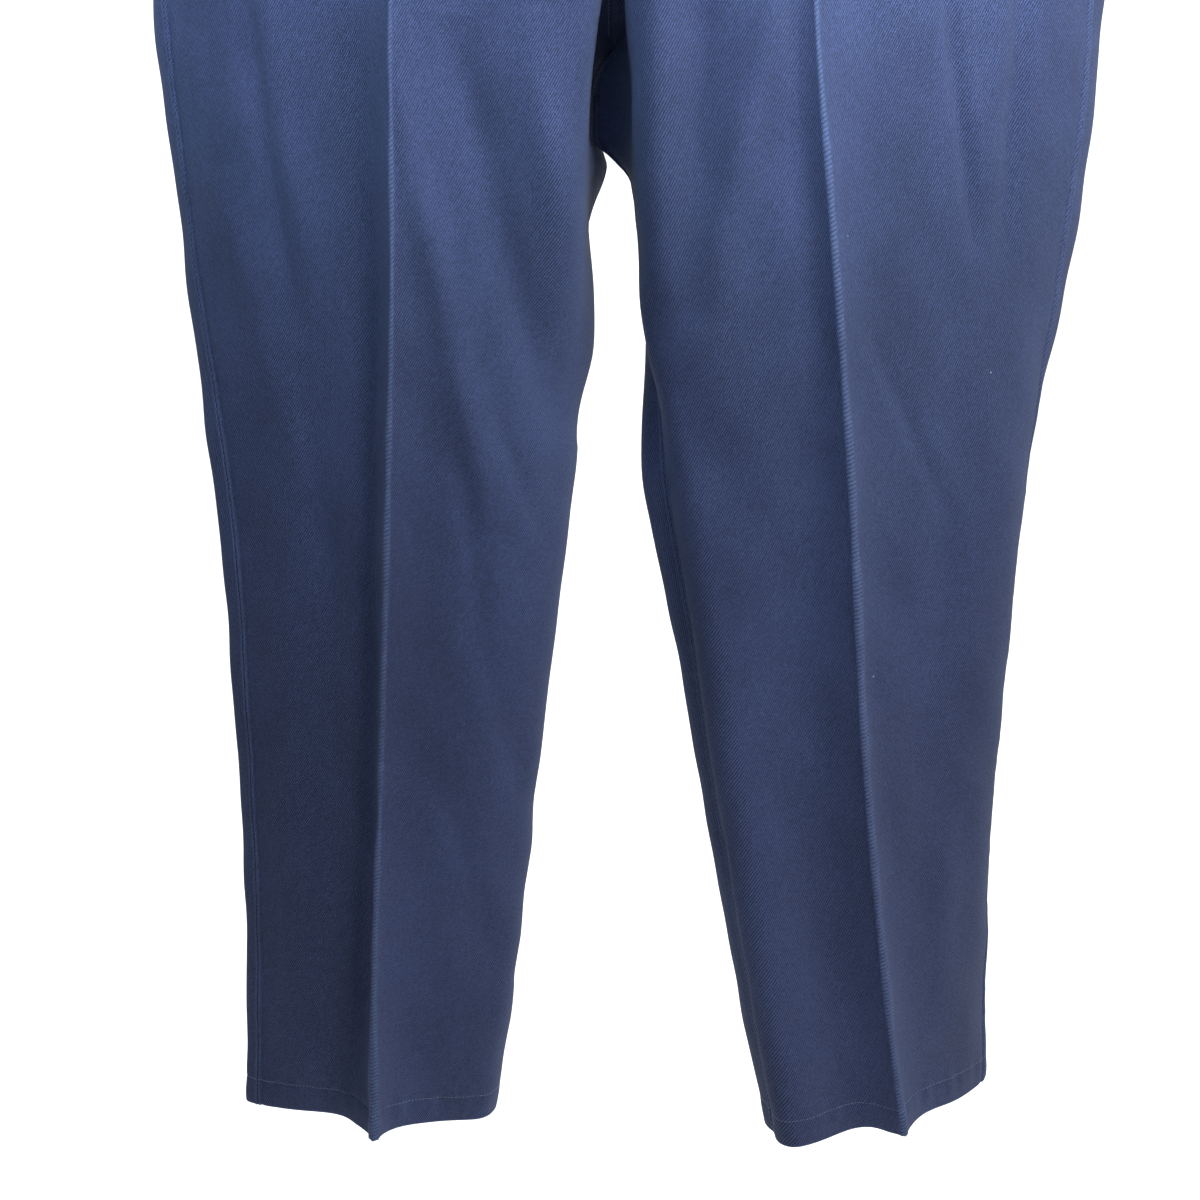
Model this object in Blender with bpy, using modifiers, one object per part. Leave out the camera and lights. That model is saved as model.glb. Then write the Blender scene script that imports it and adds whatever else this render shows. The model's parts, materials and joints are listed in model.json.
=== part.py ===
"""Work pants hanging open and filled out with no wearer, as cut and sewn pieces of cloth.

Metres, +Z up, the front faces -Y. The origin is the middle of the waist opening, at half the
height of the waistband. Left and right are the wearer's: the right leg is on the -X side.

Every panel is a loft through plan sections of the leg. A section runs from the outseam over the
front crease and the front fold to the inseam, and back over the back crease. Above the crotch
the inseam point becomes the front rise, and a second point the seat seam.
"""

import math
from collections import namedtuple

import bmesh
import bpy
import numpy as np

MM = 0.001

# ---------------------------------------------------------------- driving sizes, metres
WALL = 0.0015
SEAM_GAP = 0.0003
BAND_HEIGHT = 0.040
BAND_WALL = 0.0025
BAND_PROUD = 0.0008
LAP_LENGTH = 0.038
LAP_RAMP = 0.014
PANEL_TOP = -BAND_HEIGHT / 2 - SEAM_GAP
CROTCH_Z = -0.245
HEM_Z = -1.066
HEM_LEAN = 0.052
LEAN_START_Z = -0.50
FLY_WIDTH = 0.036
FLY_BOTTOM = -0.150
FLY_ROUND = 0.040
FLY_TIP = 0.006
FLY_WALL = 0.0010
BUTTON_RADIUS = 0.0085
BUTTON_THICK = 0.0030
BUTTON_RIM = 0.0015
BUTTON_DISH = 0.0021
BUTTON_EDGE = 0.0018
BUTTON_CORNER = 0.0029
BUTTON_FROM_CENTRE = 0.022

# ---------------------------------------------------------------- mesh fineness
OUTER_STEPS = 7
INNER_STEPS = 6
FOLD_STEPS = 4
BACK_STEPS = 8
BAND_STEPS = 6
FLY_STEPS = 6
FLY_ROW_SPLIT = 4
HANDLE = 0.40

# ---------------------------------------------------------------- sections of the legs
# Heights, distances and depths are in millimetres. "across" is measured outwards from the
# middle plane and "depth" towards the back. A heading is a direction in plan, in degrees:
# 0 points at the middle plane, 90 to the back, 180 outwards and -90 to the front.
Seam = namedtuple("Seam", "z across depth heading")
Crease = namedtuple("Crease", "z across depth arrive leave")
Leg = namedtuple("Leg", "side outseam crease fold inseam seat back")

# On the inseam a section leaves on another heading than it arrives where the legs touch below
# the crotch: there the left leg's cloth folds over the middle plane, in front of the right leg's.
RIGHT_LEG = Leg(
    side=-1,
    outseam=[
        Seam(20, 246, 0, -90),
        Seam(-20, 248, 0, -90),
        Seam(-60, 269, 0, -80),
        Seam(-110, 292, 0, -67),
        Seam(-160, 308, 0, -54),
        Seam(-200, 313, 0, -44),
        Seam(-245, 312, 0, -41),
        Seam(-340, 306, 0, -46),
        Seam(-450, 296, 0, -34),
        Seam(-550, 286, 1, -22),
        Seam(-650, 281, 2, -20),
        Seam(-850, 279, 4, -24),
        Seam(-1066, 288, 8, -16),
    ],
    crease=[
        Crease(20, 120, -52, -8, -8),
        Crease(-20, 120, -52, -8, -8),
        Crease(-100, 134, -70, -20, -4),
        Crease(-170, 143, -78, -28, 8),
        Crease(-245, 146, -84, -34, 20),
        Crease(-378, 149, -80, -38, 26),
        Crease(-550, 158, -67, -46, 30),
        Crease(-750, 170, -56, -56, 34),
        Crease(-950, 183, -45, -66, 46),
        Crease(-1066, 187, -39, -76, 60),
    ],
    fold=[
        Seam(20, 40, -59, -3),
        Seam(-20, 40, -60, -3),
        Seam(-100, 42, -75, -2),
        Seam(-150, 30, -75, 12),
        Seam(-180, 19, -68, 50),
        Seam(-200, 12, -60, 78),
        Seam(-220, 9, -55, 90),
        Seam(-245, 12, -50, 92),
        Seam(-280, 17, -47, 93),
        Seam(-340, 20, -42, 88),
        Seam(-400, 29, -34, 76),
        Seam(-550, 44, -24, 56),
        Seam(-750, 70, -19, 46),
        Seam(-950, 95, -9, 32),
        Seam(-1066, 115, -2, 20),
    ],
    inseam=[
        Crease(20, 0, -60, 0, 180),
        Crease(-20, 0, -61, 0, 180),
        Crease(-100, 0, -76, 0, 180),
        Crease(-150, 0, -72, 0, 180),
        Crease(-180, 0, -55, 0, 180),
        Crease(-205, 0, -34, 0, 180),
        Crease(-225, 0, -14, 4, 176),
        Crease(-239, 0, 6, 20, 160),
        Crease(-245, 0, 22, 55, 125),
        Crease(-250, 2.5, 28, 70, 74),
        Crease(-258, 9.5, 31, 80, 64),
        Crease(-280, 18, 33, 88, 52),
        Crease(-311, 18, 33, 90, 48),
        Crease(-328, 6, 30, 90, 80),
        Crease(-352, 14, 26, 90, 90),
        Crease(-378, 24, 22, 92, 92),
        Crease(-450, 29, 17, 94, 94),
        Crease(-550, 37, 14, 92, 92),
        Crease(-650, 49, 12, 90, 90),
        Crease(-750, 61, 13, 88, 88),
        Crease(-850, 71, 15, 88, 88),
        Crease(-950, 84, 20, 86, 86),
        Crease(-1066, 101, 34, 82, 82),
    ],
    seat=[
        Seam(20, 0, 60, 180),
        Seam(-20, 0, 62, 180),
        Seam(-100, 0, 88, 180),
        Seam(-160, 0, 97, 180),
        Seam(-200, 0, 92, 168),
        Seam(-225, 0, 74, 140),
        Seam(-239, 0, 48, 104),
        Seam(-245, 0, 22, 86),
    ],
    back=[
        Crease(20, 120, 52, 188, 188),
        Crease(-20, 122, 54, 188, 188),
        Crease(-100, 138, 88, 184, 190),
        Crease(-170, 150, 108, 176, 196),
        Crease(-245, 156, 112, 166, 206),
        Crease(-378, 158, 102, 158, 212),
        Crease(-550, 162, 86, 152, 212),
        Crease(-750, 170, 76, 150, 210),
        Crease(-950, 180, 70, 148, 210),
        Crease(-1066, 186, 68, 146, 212),
    ],
)

LEFT_LEG = Leg(
    side=1,
    outseam=[
        Seam(20, 246, 0, -90),
        Seam(-20, 248, 0, -90),
        Seam(-60, 271, 0, -80),
        Seam(-110, 300, 0, -65),
        Seam(-160, 323, 0, -48),
        Seam(-200, 331, 0, -36),
        Seam(-245, 331, 0, -42),
        Seam(-340, 326, 1, -41),
        Seam(-450, 317, 6, -52),
        Seam(-550, 308, 14, -76),
        Seam(-650, 304, 22, -86),
        Seam(-850, 301, 36, -82),
        Seam(-950, 304, 42, -70),
        Seam(-1066, 310, 48, -55),
    ],
    crease=[
        Crease(20, 118, -52, -8, -8),
        Crease(-20, 118, -53, -8, -8),
        Crease(-100, 122, -70, -20, -4),
        Crease(-170, 124, -79, -28, 10),
        Crease(-245, 129, -84, -36, 22),
        Crease(-378, 144, -80, -40, 26),
        Crease(-550, 164, -66, -46, 26),
        Crease(-750, 183, -52, -52, 28),
        Crease(-950, 209, -40, -58, 30),
        Crease(-1066, 228, -33, -62, 32),
    ],
    fold=[
        Seam(20, 40, -59, -3),
        Seam(-20, 40, -60, -3),
        Seam(-100, 42, -75, -2),
        Seam(-150, 28, -76, 12),
        Seam(-180, 17, -69, 50),
        Seam(-200, 10, -61, 78),
        Seam(-220, 7, -56, 90),
        Seam(-245, 8, -51, 92),
        Seam(-280, 11, -48, 95),
        Seam(-340, 15, -44, 90),
        Seam(-400, 22, -43, 74),
        Seam(-450, 34, -42, 54),
        Seam(-500, 48, -42, 34),
        Seam(-550, 61, -41, 19),
        Seam(-750, 95, -39, 3),
        Seam(-950, 128, -38, -8),
        Seam(-1066, 147, -38, -15),
    ],
    inseam=[
        Crease(20, 0, -60, 0, 180),
        Crease(-20, 0, -61, 0, 180),
        Crease(-100, 0, -76, 0, 180),
        Crease(-150, 0, -72, 0, 180),
        Crease(-180, 0, -55, 0, 180),
        Crease(-205, 0, -34, 0, 180),
        Crease(-225, 0, -14, 4, 176),
        Crease(-239, 0, 6, 20, 160),
        Crease(-245, 0, 22, 55, 125),
        Crease(-250, -1.5, 25, 45, 128),
        Crease(-258, -8, 27, 38, 128),
        Crease(-280, -14, 27, 32, 134),
        Crease(-311, -14, 26, 36, 130),
        Crease(-325, 0, 24, 60, 100),
        Crease(-342, 15, 20, 90, 92),
        Crease(-378, 21, 8, 86, 86),
        Crease(-450, 30, -10, 60, 60),
        Crease(-550, 37, -18, 24, 24),
        Crease(-650, 55, -20, 32, 32),
        Crease(-750, 71, -22, 41, 41),
        Crease(-950, 106, -26, 48, 48),
        Crease(-1066, 128, -24, 54, 54),
    ],
    seat=RIGHT_LEG.seat,
    back=[
        Crease(20, 120, 52, 188, 188),
        Crease(-20, 122, 54, 188, 188),
        Crease(-100, 138, 88, 184, 190),
        Crease(-170, 152, 108, 176, 196),
        Crease(-245, 160, 112, 166, 206),
        Crease(-378, 164, 102, 158, 212),
        Crease(-550, 168, 88, 150, 212),
        Crease(-750, 178, 80, 142, 206),
        Crease(-950, 190, 76, 134, 200),
        Crease(-1066, 196, 74, 128, 196),
    ],
)

# Heights of the rows of each panel: stretches of (from, to, steps), closest at the crotch.
ROW_STRETCHES = (
    (PANEL_TOP, -0.150, 8),
    (-0.150, -0.225, 4),
    (-0.225, CROTCH_Z, 3),
    (CROTCH_Z, -0.250, 1),
    (-0.250, -0.285, 3),
    (-0.285, -0.345, 4),
    (-0.345, -0.450, 4),
    (-0.450, HEM_Z, 10),
)

NAVY = (0.017, 0.026, 0.062, 1.0)
BUTTON_BLUE = (0.012, 0.016, 0.034, 1.0)


# ---------------------------------------------------------------- plan sections
def smooth_columns(rows, z):
    """Values of every named column but the height, at heights z, on monotone cubics."""
    table = np.array(rows, dtype=float)[::-1]
    heights = table[:, 0] * MM
    values = table[:, 1:]
    steps = np.diff(heights)[:, None]
    slopes = np.diff(values, axis=0) / steps
    tangents = np.zeros_like(values)
    tangents[0] = slopes[0]
    tangents[-1] = slopes[-1]
    same_way = slopes[:-1] * slopes[1:] > 0
    with np.errstate(divide="ignore", invalid="ignore"):
        harmonic = 2 * slopes[:-1] * slopes[1:] / (slopes[:-1] + slopes[1:])
    tangents[1:-1] = np.where(same_way, harmonic, 0.0)
    z = np.clip(np.asarray(z, dtype=float), heights[0], heights[-1])
    low = np.clip(np.searchsorted(heights, z) - 1, 0, len(heights) - 2)
    step = steps[low]
    s = ((z - heights[low])[:, None]) / step
    rise = s * s * (3 - 2 * s)
    start = s * (1 - s) ** 2 * step
    end = -s * s * (1 - s) * step
    return values[low] + rise * (values[low + 1] - values[low]) + start * tangents[low] + end * tangents[low + 1]


def heading_vector(degrees):
    """Plan direction (across, depth) of each heading."""
    radians = np.radians(degrees)
    return np.stack([-np.cos(radians), np.sin(radians)], axis=-1)


def arc(start, start_heading, end, end_heading, steps):
    """Cubic curves from start to end that leave and arrive on the given headings."""
    reach = HANDLE * np.linalg.norm(end - start, axis=-1, keepdims=True)
    leave = start + reach * heading_vector(start_heading)
    arrive = end - reach * heading_vector(end_heading)
    t = np.linspace(0.0, 1.0, steps + 1)[None, :, None]
    near = (1 - t) ** 3 * start[:, None] + 3 * t * (1 - t) ** 2 * leave[:, None]
    return near + 3 * t ** 2 * (1 - t) * arrive[:, None] + t ** 3 * end[:, None]


def join(*arcs):
    """Arcs end to end, each shared end kept once."""
    return np.concatenate([arcs[0]] + [piece[:, 1:] for piece in arcs[1:]], axis=1)


def leg_sections(leg, z):
    """Plan points of the front and the back panel at heights z, each in walking order."""
    out = smooth_columns(leg.outseam, z)
    crease = smooth_columns(leg.crease, z)
    fold = smooth_columns(leg.fold, z)
    inner = smooth_columns(leg.inseam, z)
    back = smooth_columns(leg.back, z)
    seat = smooth_columns(leg.seat, z)
    below = (z <= CROTCH_Z + MM / 10)[:, None]
    at_crotch = (np.abs(z - CROTCH_Z) < MM / 10)[:, None]
    seat = np.where(below & ~at_crotch, inner[:, (0, 1, 3)], seat)
    outer_arc = arc(out[:, :2], out[:, 2], crease[:, :2], crease[:, 2], OUTER_STEPS)
    inner_arc = arc(crease[:, :2], crease[:, 3], fold[:, :2], fold[:, 2], INNER_STEPS)
    fold_arc = arc(fold[:, :2], fold[:, 2], inner[:, :2], inner[:, 2], FOLD_STEPS)
    seat_arc = arc(seat[:, :2], seat[:, 2], back[:, :2], back[:, 2], BACK_STEPS)
    hip_arc = arc(back[:, :2], back[:, 3], out[:, :2], out[:, 2], BACK_STEPS)
    return join(outer_arc, inner_arc, fold_arc) * MM, join(seat_arc, hip_arc) * MM, crease[:, 0] * MM


def to_world(leg, plan, z, crease_across):
    """Plan points at their heights; the hems lean up outwards, square to the leg."""
    lean = HEM_LEAN * np.clip((LEAN_START_Z - z) / (LEAN_START_Z - HEM_Z), 0.0, 1.0)
    lift = lean[:, None] * (plan[..., 0] - crease_across[:, None])
    return np.stack([leg.side * plan[..., 0], plan[..., 1], z[:, None] + lift], axis=-1)


# ---------------------------------------------------------------- cloth walls
def unit(vectors):
    return vectors / np.maximum(np.linalg.norm(vectors, axis=-1, keepdims=True), 1e-12)


def outward_normals(along, down, side):
    return unit(np.cross(along, down)) * side


def leg_normals(leg, front, back, z):
    """Outward normals of both panels. Neighbouring pieces share them at their seams."""
    down_front = np.gradient(front, axis=0)
    down_back = np.gradient(back, axis=0)
    along_front = np.gradient(front, axis=1)
    along_back = np.gradient(back, axis=1)
    at_outseam = front[:, 1] - back[:, -2]
    along_front[:, 0] = at_outseam
    along_back[:, -1] = at_outseam
    at_inseam = back[:, 1] - front[:, -2]
    towards_middle = np.array([-float(leg.side), 0.0, 0.0])
    above = (z > CROTCH_Z + MM / 10)[:, None]
    along_front[:, -1] = np.where(above, towards_middle, at_inseam)
    along_back[:, 0] = np.where(above, -towards_middle, at_inseam)
    front_normals = outward_normals(along_front, down_front, leg.side)
    back_normals = outward_normals(along_back, down_back, leg.side)
    crotch = int(np.argmin(np.abs(z - CROTCH_Z)))
    shared = unit(front_normals[crotch + 1, -1] + np.array([0.0, 0.0, -1.0]))
    front_normals[crotch, -1] = shared
    back_normals[crotch, 0] = shared
    return front_normals, back_normals, unit(at_outseam), unit(at_inseam)


def clear_of_middle(leg, points, above):
    """Keeps a half of the garment half a seam gap from the middle plane, above the crotch."""
    kept = leg.side * np.maximum(leg.side * points[..., 0], SEAM_GAP / 2)
    points[..., 0] = np.where(above, kept, points[..., 0])
    return points


def closed_wall(name, outer, inner, material, collection):
    """One closed solid between an outer and an inner skin of the same rows and columns."""
    rows, columns = outer.shape[:2]
    count = rows * columns
    index = np.arange(count).reshape(rows, columns)
    faces = []
    for skin, flip in ((index, False), (index + count, True)):
        for row in range(rows - 1):
            for column in range(columns - 1):
                quad = [skin[row, column], skin[row, column + 1], skin[row + 1, column + 1], skin[row + 1, column]]
                faces.append(quad[::-1] if flip else quad)
    rim = list(index[0, :]) + list(index[1:, -1]) + list(index[-1, -2::-1]) + list(index[-2:0:-1, 0])
    for here, there in zip(rim, rim[1:] + rim[:1]):
        faces.append([here, here + count, there + count, there])
    vertices = np.concatenate([outer.reshape(-1, 3), inner.reshape(-1, 3)])
    mesh = bpy.data.meshes.new(name)
    mesh.from_pydata(vertices.tolist(), [], [[int(v) for v in face] for face in faces])
    cage = bmesh.new()
    cage.from_mesh(mesh)
    bmesh.ops.triangulate(cage, faces=cage.faces[:])
    bmesh.ops.recalc_face_normals(cage, faces=cage.faces[:])
    cage.to_mesh(mesh)
    cage.free()
    mesh.shade_smooth()
    mesh.set_sharp_from_angle(angle=math.radians(40))
    mesh.materials.append(material)
    wall = bpy.data.objects.new(name, mesh)
    collection.objects.link(wall)
    return wall


# ---------------------------------------------------------------- pieces
def row_heights():
    stretches = [np.linspace(top, bottom, steps + 1)[1:] for top, bottom, steps in ROW_STRETCHES]
    return np.concatenate([[PANEL_TOP]] + stretches)


def make_leg_panels(leg, label, material, collection):
    """Front and back panel of one leg, with a seam gap between them. Returns the front's points."""
    z = row_heights()
    front_plan, back_plan, crease_across = leg_sections(leg, z)
    front = to_world(leg, front_plan, z, crease_across)
    back = to_world(leg, back_plan, z, crease_across)
    front_normals, back_normals, outseam_way, inseam_way = leg_normals(leg, front, back, z)
    half = SEAM_GAP / 2
    below = (z <= CROTCH_Z + MM / 10)[:, None]
    above = (z >= CROTCH_Z - MM / 10)[:, None]
    front[:, 0] += half * outseam_way
    back[:, -1] -= half * outseam_way
    front[:, -1] -= np.where(below, half * inseam_way, 0.0)
    back[:, 0] += np.where(below, half * inseam_way, 0.0)
    for name, skin, normals in (("front", front, front_normals), ("back", back, back_normals)):
        outer = clear_of_middle(leg, skin.copy(), above)
        inner = clear_of_middle(leg, skin - WALL * normals, above)
        closed_wall(f"{name}_{label}", outer, inner, material, collection)
    return front, front_normals, z


def band_path(leg):
    """The half section at the waist, from the seat seam round to the front centre."""
    waist = np.array([0.0])
    front_plan, back_plan, _ = leg_sections(leg, waist)
    path = np.concatenate([back_plan[0], front_plan[0][1:]])
    points = np.stack([leg.side * path[:, 0], path[:, 1]], axis=-1)
    along = np.gradient(points, axis=0)
    along[0] = (leg.side, 0.0)
    along[-1] = (-leg.side, 0.0)
    normals = unit(np.stack([along[:, 1], -along[:, 0]], axis=-1) * -leg.side)
    return points, normals


def make_band(name, points, normals, lift, material, collection):
    """A waistband half: its plan path, moved out by lift, between its two edges."""
    heights = np.linspace(-BAND_HEIGHT / 2, BAND_HEIGHT / 2, 3)
    skins = []
    for offset in (lift, lift - BAND_WALL):
        plan = points + normals * offset[:, None]
        rows = [np.column_stack([plan, np.full(len(plan), height)]) for height in heights]
        skins.append(np.array(rows))
    return closed_wall(name, skins[0], skins[1], material, collection)


def make_waistband(material, collection):
    """Two halves that meet at the seat seam; the left one laps over the right at the front."""
    right_points, right_normals = band_path(RIGHT_LEG)
    left_points, left_normals = band_path(LEFT_LEG)
    right_points[0, 0] = right_points[-1, 0] = -SEAM_GAP / 2
    left_points[0, 0] = SEAM_GAP / 2
    proud = np.full(len(right_points), BAND_PROUD)
    make_band("waistband_right", right_points, right_normals, proud, material, collection)

    from_centre = np.concatenate([[0.0], np.cumsum(np.linalg.norm(np.diff(right_points[::-1], axis=0), axis=1))])
    lap_stations = np.linspace(0.0, LAP_LENGTH, BAND_STEPS + 1)[1:]
    lap_points = np.column_stack([np.interp(lap_stations, from_centre, right_points[::-1, k]) for k in (0, 1)])
    lap_normals = unit(
        np.column_stack([np.interp(lap_stations, from_centre, right_normals[::-1, k]) for k in (0, 1)])
    )
    ramp = np.linspace(0.0, LAP_RAMP, BAND_STEPS)[1:]
    left_from_centre = np.concatenate([[0.0], np.cumsum(np.linalg.norm(np.diff(left_points[::-1], axis=0), axis=1))])
    kept = left_from_centre[::-1] > LAP_RAMP * 1.3
    ramp_points = np.column_stack([np.interp(ramp[::-1], left_from_centre, left_points[::-1, k]) for k in (0, 1)])
    ramp_normals = unit(
        np.column_stack([np.interp(ramp[::-1], left_from_centre, left_normals[::-1, k]) for k in (0, 1)])
    )
    points = np.concatenate([left_points[kept], ramp_points, left_points[-1:], lap_points])
    normals = np.concatenate([left_normals[kept], ramp_normals, left_normals[-1:], lap_normals])
    distance = np.concatenate([left_from_centre[::-1][kept], ramp[::-1], [0.0], -lap_stations])
    step_out = BAND_WALL + SEAM_GAP
    lift = BAND_PROUD + step_out * np.clip((LAP_RAMP - distance) / (LAP_RAMP - SEAM_GAP * 4), 0.0, 1.0)
    make_band("waistband_left", points, normals, lift, material, collection)


def fly_width(z):
    """The fly is straight down to its rounded foot, as a letter J."""
    into_foot = np.clip((FLY_BOTTOM + FLY_ROUND - z) / FLY_ROUND, 0.0, 1.0)
    return np.maximum(FLY_WIDTH * np.sqrt(1.0 - into_foot ** 2), FLY_TIP)


def make_fly(front, normals, z, material, collection):
    """The doubled fly front on the left panel: the panel's own points, moved out."""
    last = int(np.argmin(np.abs(z - FLY_BOTTOM)))
    base = []
    lift = []
    for step in range(last * FLY_ROW_SPLIT + 1):
        row, part = divmod(step, FLY_ROW_SPLIT)
        share = part / FLY_ROW_SPLIT
        points = (1 - share) * front[row, ::-1] + share * front[row + 1, ::-1]
        facing = (1 - share) * normals[row, ::-1] + share * normals[row + 1, ::-1]
        height = (1 - share) * z[row] + share * z[row + 1]
        away = np.concatenate([[0.0], np.cumsum(np.linalg.norm(np.diff(points, axis=0), axis=1))])
        stations = np.linspace(SEAM_GAP, fly_width(height), FLY_STEPS + 1)
        base.append(np.column_stack([np.interp(stations, away, points[:, k]) for k in range(3)]))
        lift.append(np.column_stack([np.interp(stations, away, facing[:, k]) for k in range(3)]))
    base = np.array(base)
    lift = unit(np.array(lift))
    inner = base + SEAM_GAP * lift
    outer = base + (SEAM_GAP + FLY_WALL) * lift
    closed_wall("fly_flap", outer, inner, material, collection)


def make_button(material, collection):
    """A turned button with a raised rim, lying on the lapped end of the waistband."""
    profile = [
        (0.0, BUTTON_DISH),
        (BUTTON_RADIUS - 2 * BUTTON_RIM, BUTTON_DISH),
        (BUTTON_RADIUS - BUTTON_RIM, BUTTON_THICK),
        (BUTTON_RADIUS - BUTTON_RIM / 2, BUTTON_CORNER),
        (BUTTON_RADIUS, BUTTON_EDGE),
        (BUTTON_RADIUS - BUTTON_RIM, 0.0),
        (0.0, 0.0),
    ]
    mesh = bpy.data.meshes.new("waist_button")
    mesh.from_pydata([(r, 0.0, h) for r, h in profile], [(i, i + 1) for i in range(len(profile) - 1)], [])
    button = bpy.data.objects.new("waist_button", mesh)
    collection.objects.link(button)
    turn = button.modifiers.new("turn", "SCREW")
    turn.axis = "Z"
    turn.steps = 32
    turn.render_steps = 32
    turn.use_merge_vertices = True
    turn.merge_threshold = 0.00001
    mesh.materials.append(material)

    points, normals = band_path(RIGHT_LEG)
    points = points[::-1]
    normals = normals[::-1]
    away = np.concatenate([[0.0], np.cumsum(np.linalg.norm(np.diff(points, axis=0), axis=1))])
    at = np.array([np.interp(BUTTON_FROM_CENTRE, away, points[:, k]) for k in (0, 1)])
    facing = unit(np.array([np.interp(BUTTON_FROM_CENTRE, away, normals[:, k]) for k in (0, 1)]))
    lap_surface = BAND_PROUD + BAND_WALL + 2 * SEAM_GAP
    seat = at + facing * lap_surface
    button.location = (seat[0], seat[1], 0.0)
    button.rotation_euler = (math.pi / 2, 0.0, math.atan2(facing[0], -facing[1]))
    return button


def make_material(name, colour, roughness):
    material = bpy.data.materials.new(name)
    material.use_nodes = True
    shader = material.node_tree.nodes["Principled BSDF"]
    shader.inputs["Base Color"].default_value = colour
    shader.inputs["Roughness"].default_value = roughness
    shader.inputs["Metallic"].default_value = 0.0
    return material


def main():
    for leftover in list(bpy.data.objects):
        bpy.data.objects.remove(leftover)
    collection = bpy.data.collections.new("work_pants")
    bpy.context.scene.collection.children.link(collection)
    twill = make_material("navy_twill", NAVY, 0.85)
    plastic = make_material("navy_plastic", BUTTON_BLUE, 0.35)
    make_leg_panels(RIGHT_LEG, "right", twill, collection)
    front, normals, z = make_leg_panels(LEFT_LEG, "left", twill, collection)
    make_waistband(twill, collection)
    make_fly(front, normals, z, twill, collection)
    make_button(plastic, collection)


main()
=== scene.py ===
"""Work pants: the cloth, sewing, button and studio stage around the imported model.

Metres, +Z up, the front faces -Y. Left and right are the wearer's: the right leg is on the -X
side. Tables of the cut are in millimetres and degrees.
"""

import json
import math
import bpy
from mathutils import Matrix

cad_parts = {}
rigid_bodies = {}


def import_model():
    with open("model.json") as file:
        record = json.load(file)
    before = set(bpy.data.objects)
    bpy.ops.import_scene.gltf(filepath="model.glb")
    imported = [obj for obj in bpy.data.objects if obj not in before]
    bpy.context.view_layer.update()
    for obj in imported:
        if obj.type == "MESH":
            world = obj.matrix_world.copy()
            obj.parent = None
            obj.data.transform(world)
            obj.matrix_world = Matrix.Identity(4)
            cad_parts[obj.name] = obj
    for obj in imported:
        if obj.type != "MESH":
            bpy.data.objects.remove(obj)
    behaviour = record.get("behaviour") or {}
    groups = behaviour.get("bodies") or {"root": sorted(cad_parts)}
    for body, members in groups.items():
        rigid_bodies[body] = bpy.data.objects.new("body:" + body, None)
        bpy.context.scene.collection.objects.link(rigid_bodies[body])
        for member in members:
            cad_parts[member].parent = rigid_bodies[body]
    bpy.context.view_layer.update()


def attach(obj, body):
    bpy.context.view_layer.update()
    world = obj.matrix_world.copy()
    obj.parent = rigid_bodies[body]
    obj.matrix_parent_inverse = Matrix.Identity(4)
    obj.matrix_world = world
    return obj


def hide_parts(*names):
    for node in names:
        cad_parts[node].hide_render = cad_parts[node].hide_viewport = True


bl_info = {
    "name": "Work Pants",
    "version": (1, 0, 0),
    "blender": (4, 5, 0),
    "location": "3D View > Sidebar > Work Pants",
    "description": "Makes the cloth, sewing, button and stage of hollow hanging work pants",
    "category": "Object",
}

from collections import namedtuple
from functools import lru_cache
from itertools import product

import bmesh
import bpy
import numpy as np
from bpy.props import FloatProperty, FloatVectorProperty, IntProperty, PointerProperty
from bpy.types import Operator, Panel, PropertyGroup
from mathutils import Vector

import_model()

MM = 0.001

# ---------------------------------------------------------------- the cut, as in the solids
SEAM_GAP = 0.0003
BAND_HEIGHT = 0.040
BAND_WALL = 0.0025
BAND_PROUD = 0.0008
LAP_LENGTH = 0.038
LAP_RAMP = 0.014
PANEL_TOP = -BAND_HEIGHT / 2 - SEAM_GAP
CROTCH_Z = -0.245
HEM_Z = -1.066
HEM_LEAN = 0.052
LEAN_START_Z = -0.50
FLY_WIDTH = 0.036
FLY_BOTTOM = -0.150
FLY_ROUND = 0.040
FLY_TIP = 0.006
FLY_WALL = 0.0010
BUTTON_RADIUS = 0.0085
BUTTON_THICK = 0.0030
BUTTON_FROM_CENTRE = 0.022
HANDLE = 0.40

# ---------------------------------------------------------------- sections of the legs
# Rows of a seam or a fold are (z, across, depth, heading) and rows of a crease or an inseam are (z,
# across, depth, heading on arriving, heading on leaving), in mm and degrees. "across" is measured
# outwards from the middle plane and "depth" towards the back. A heading is a direction in plan:
# 0 points at the middle plane, 90 to the back, 180 outwards and -90 to the front. On the inseam a
# section leaves on another heading than it arrives where the legs touch below the crotch: there the
# left leg's cloth folds over the middle plane, in front of the right leg's.
Leg = namedtuple("Leg", "side outseam crease fold inseam seat back")

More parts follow.
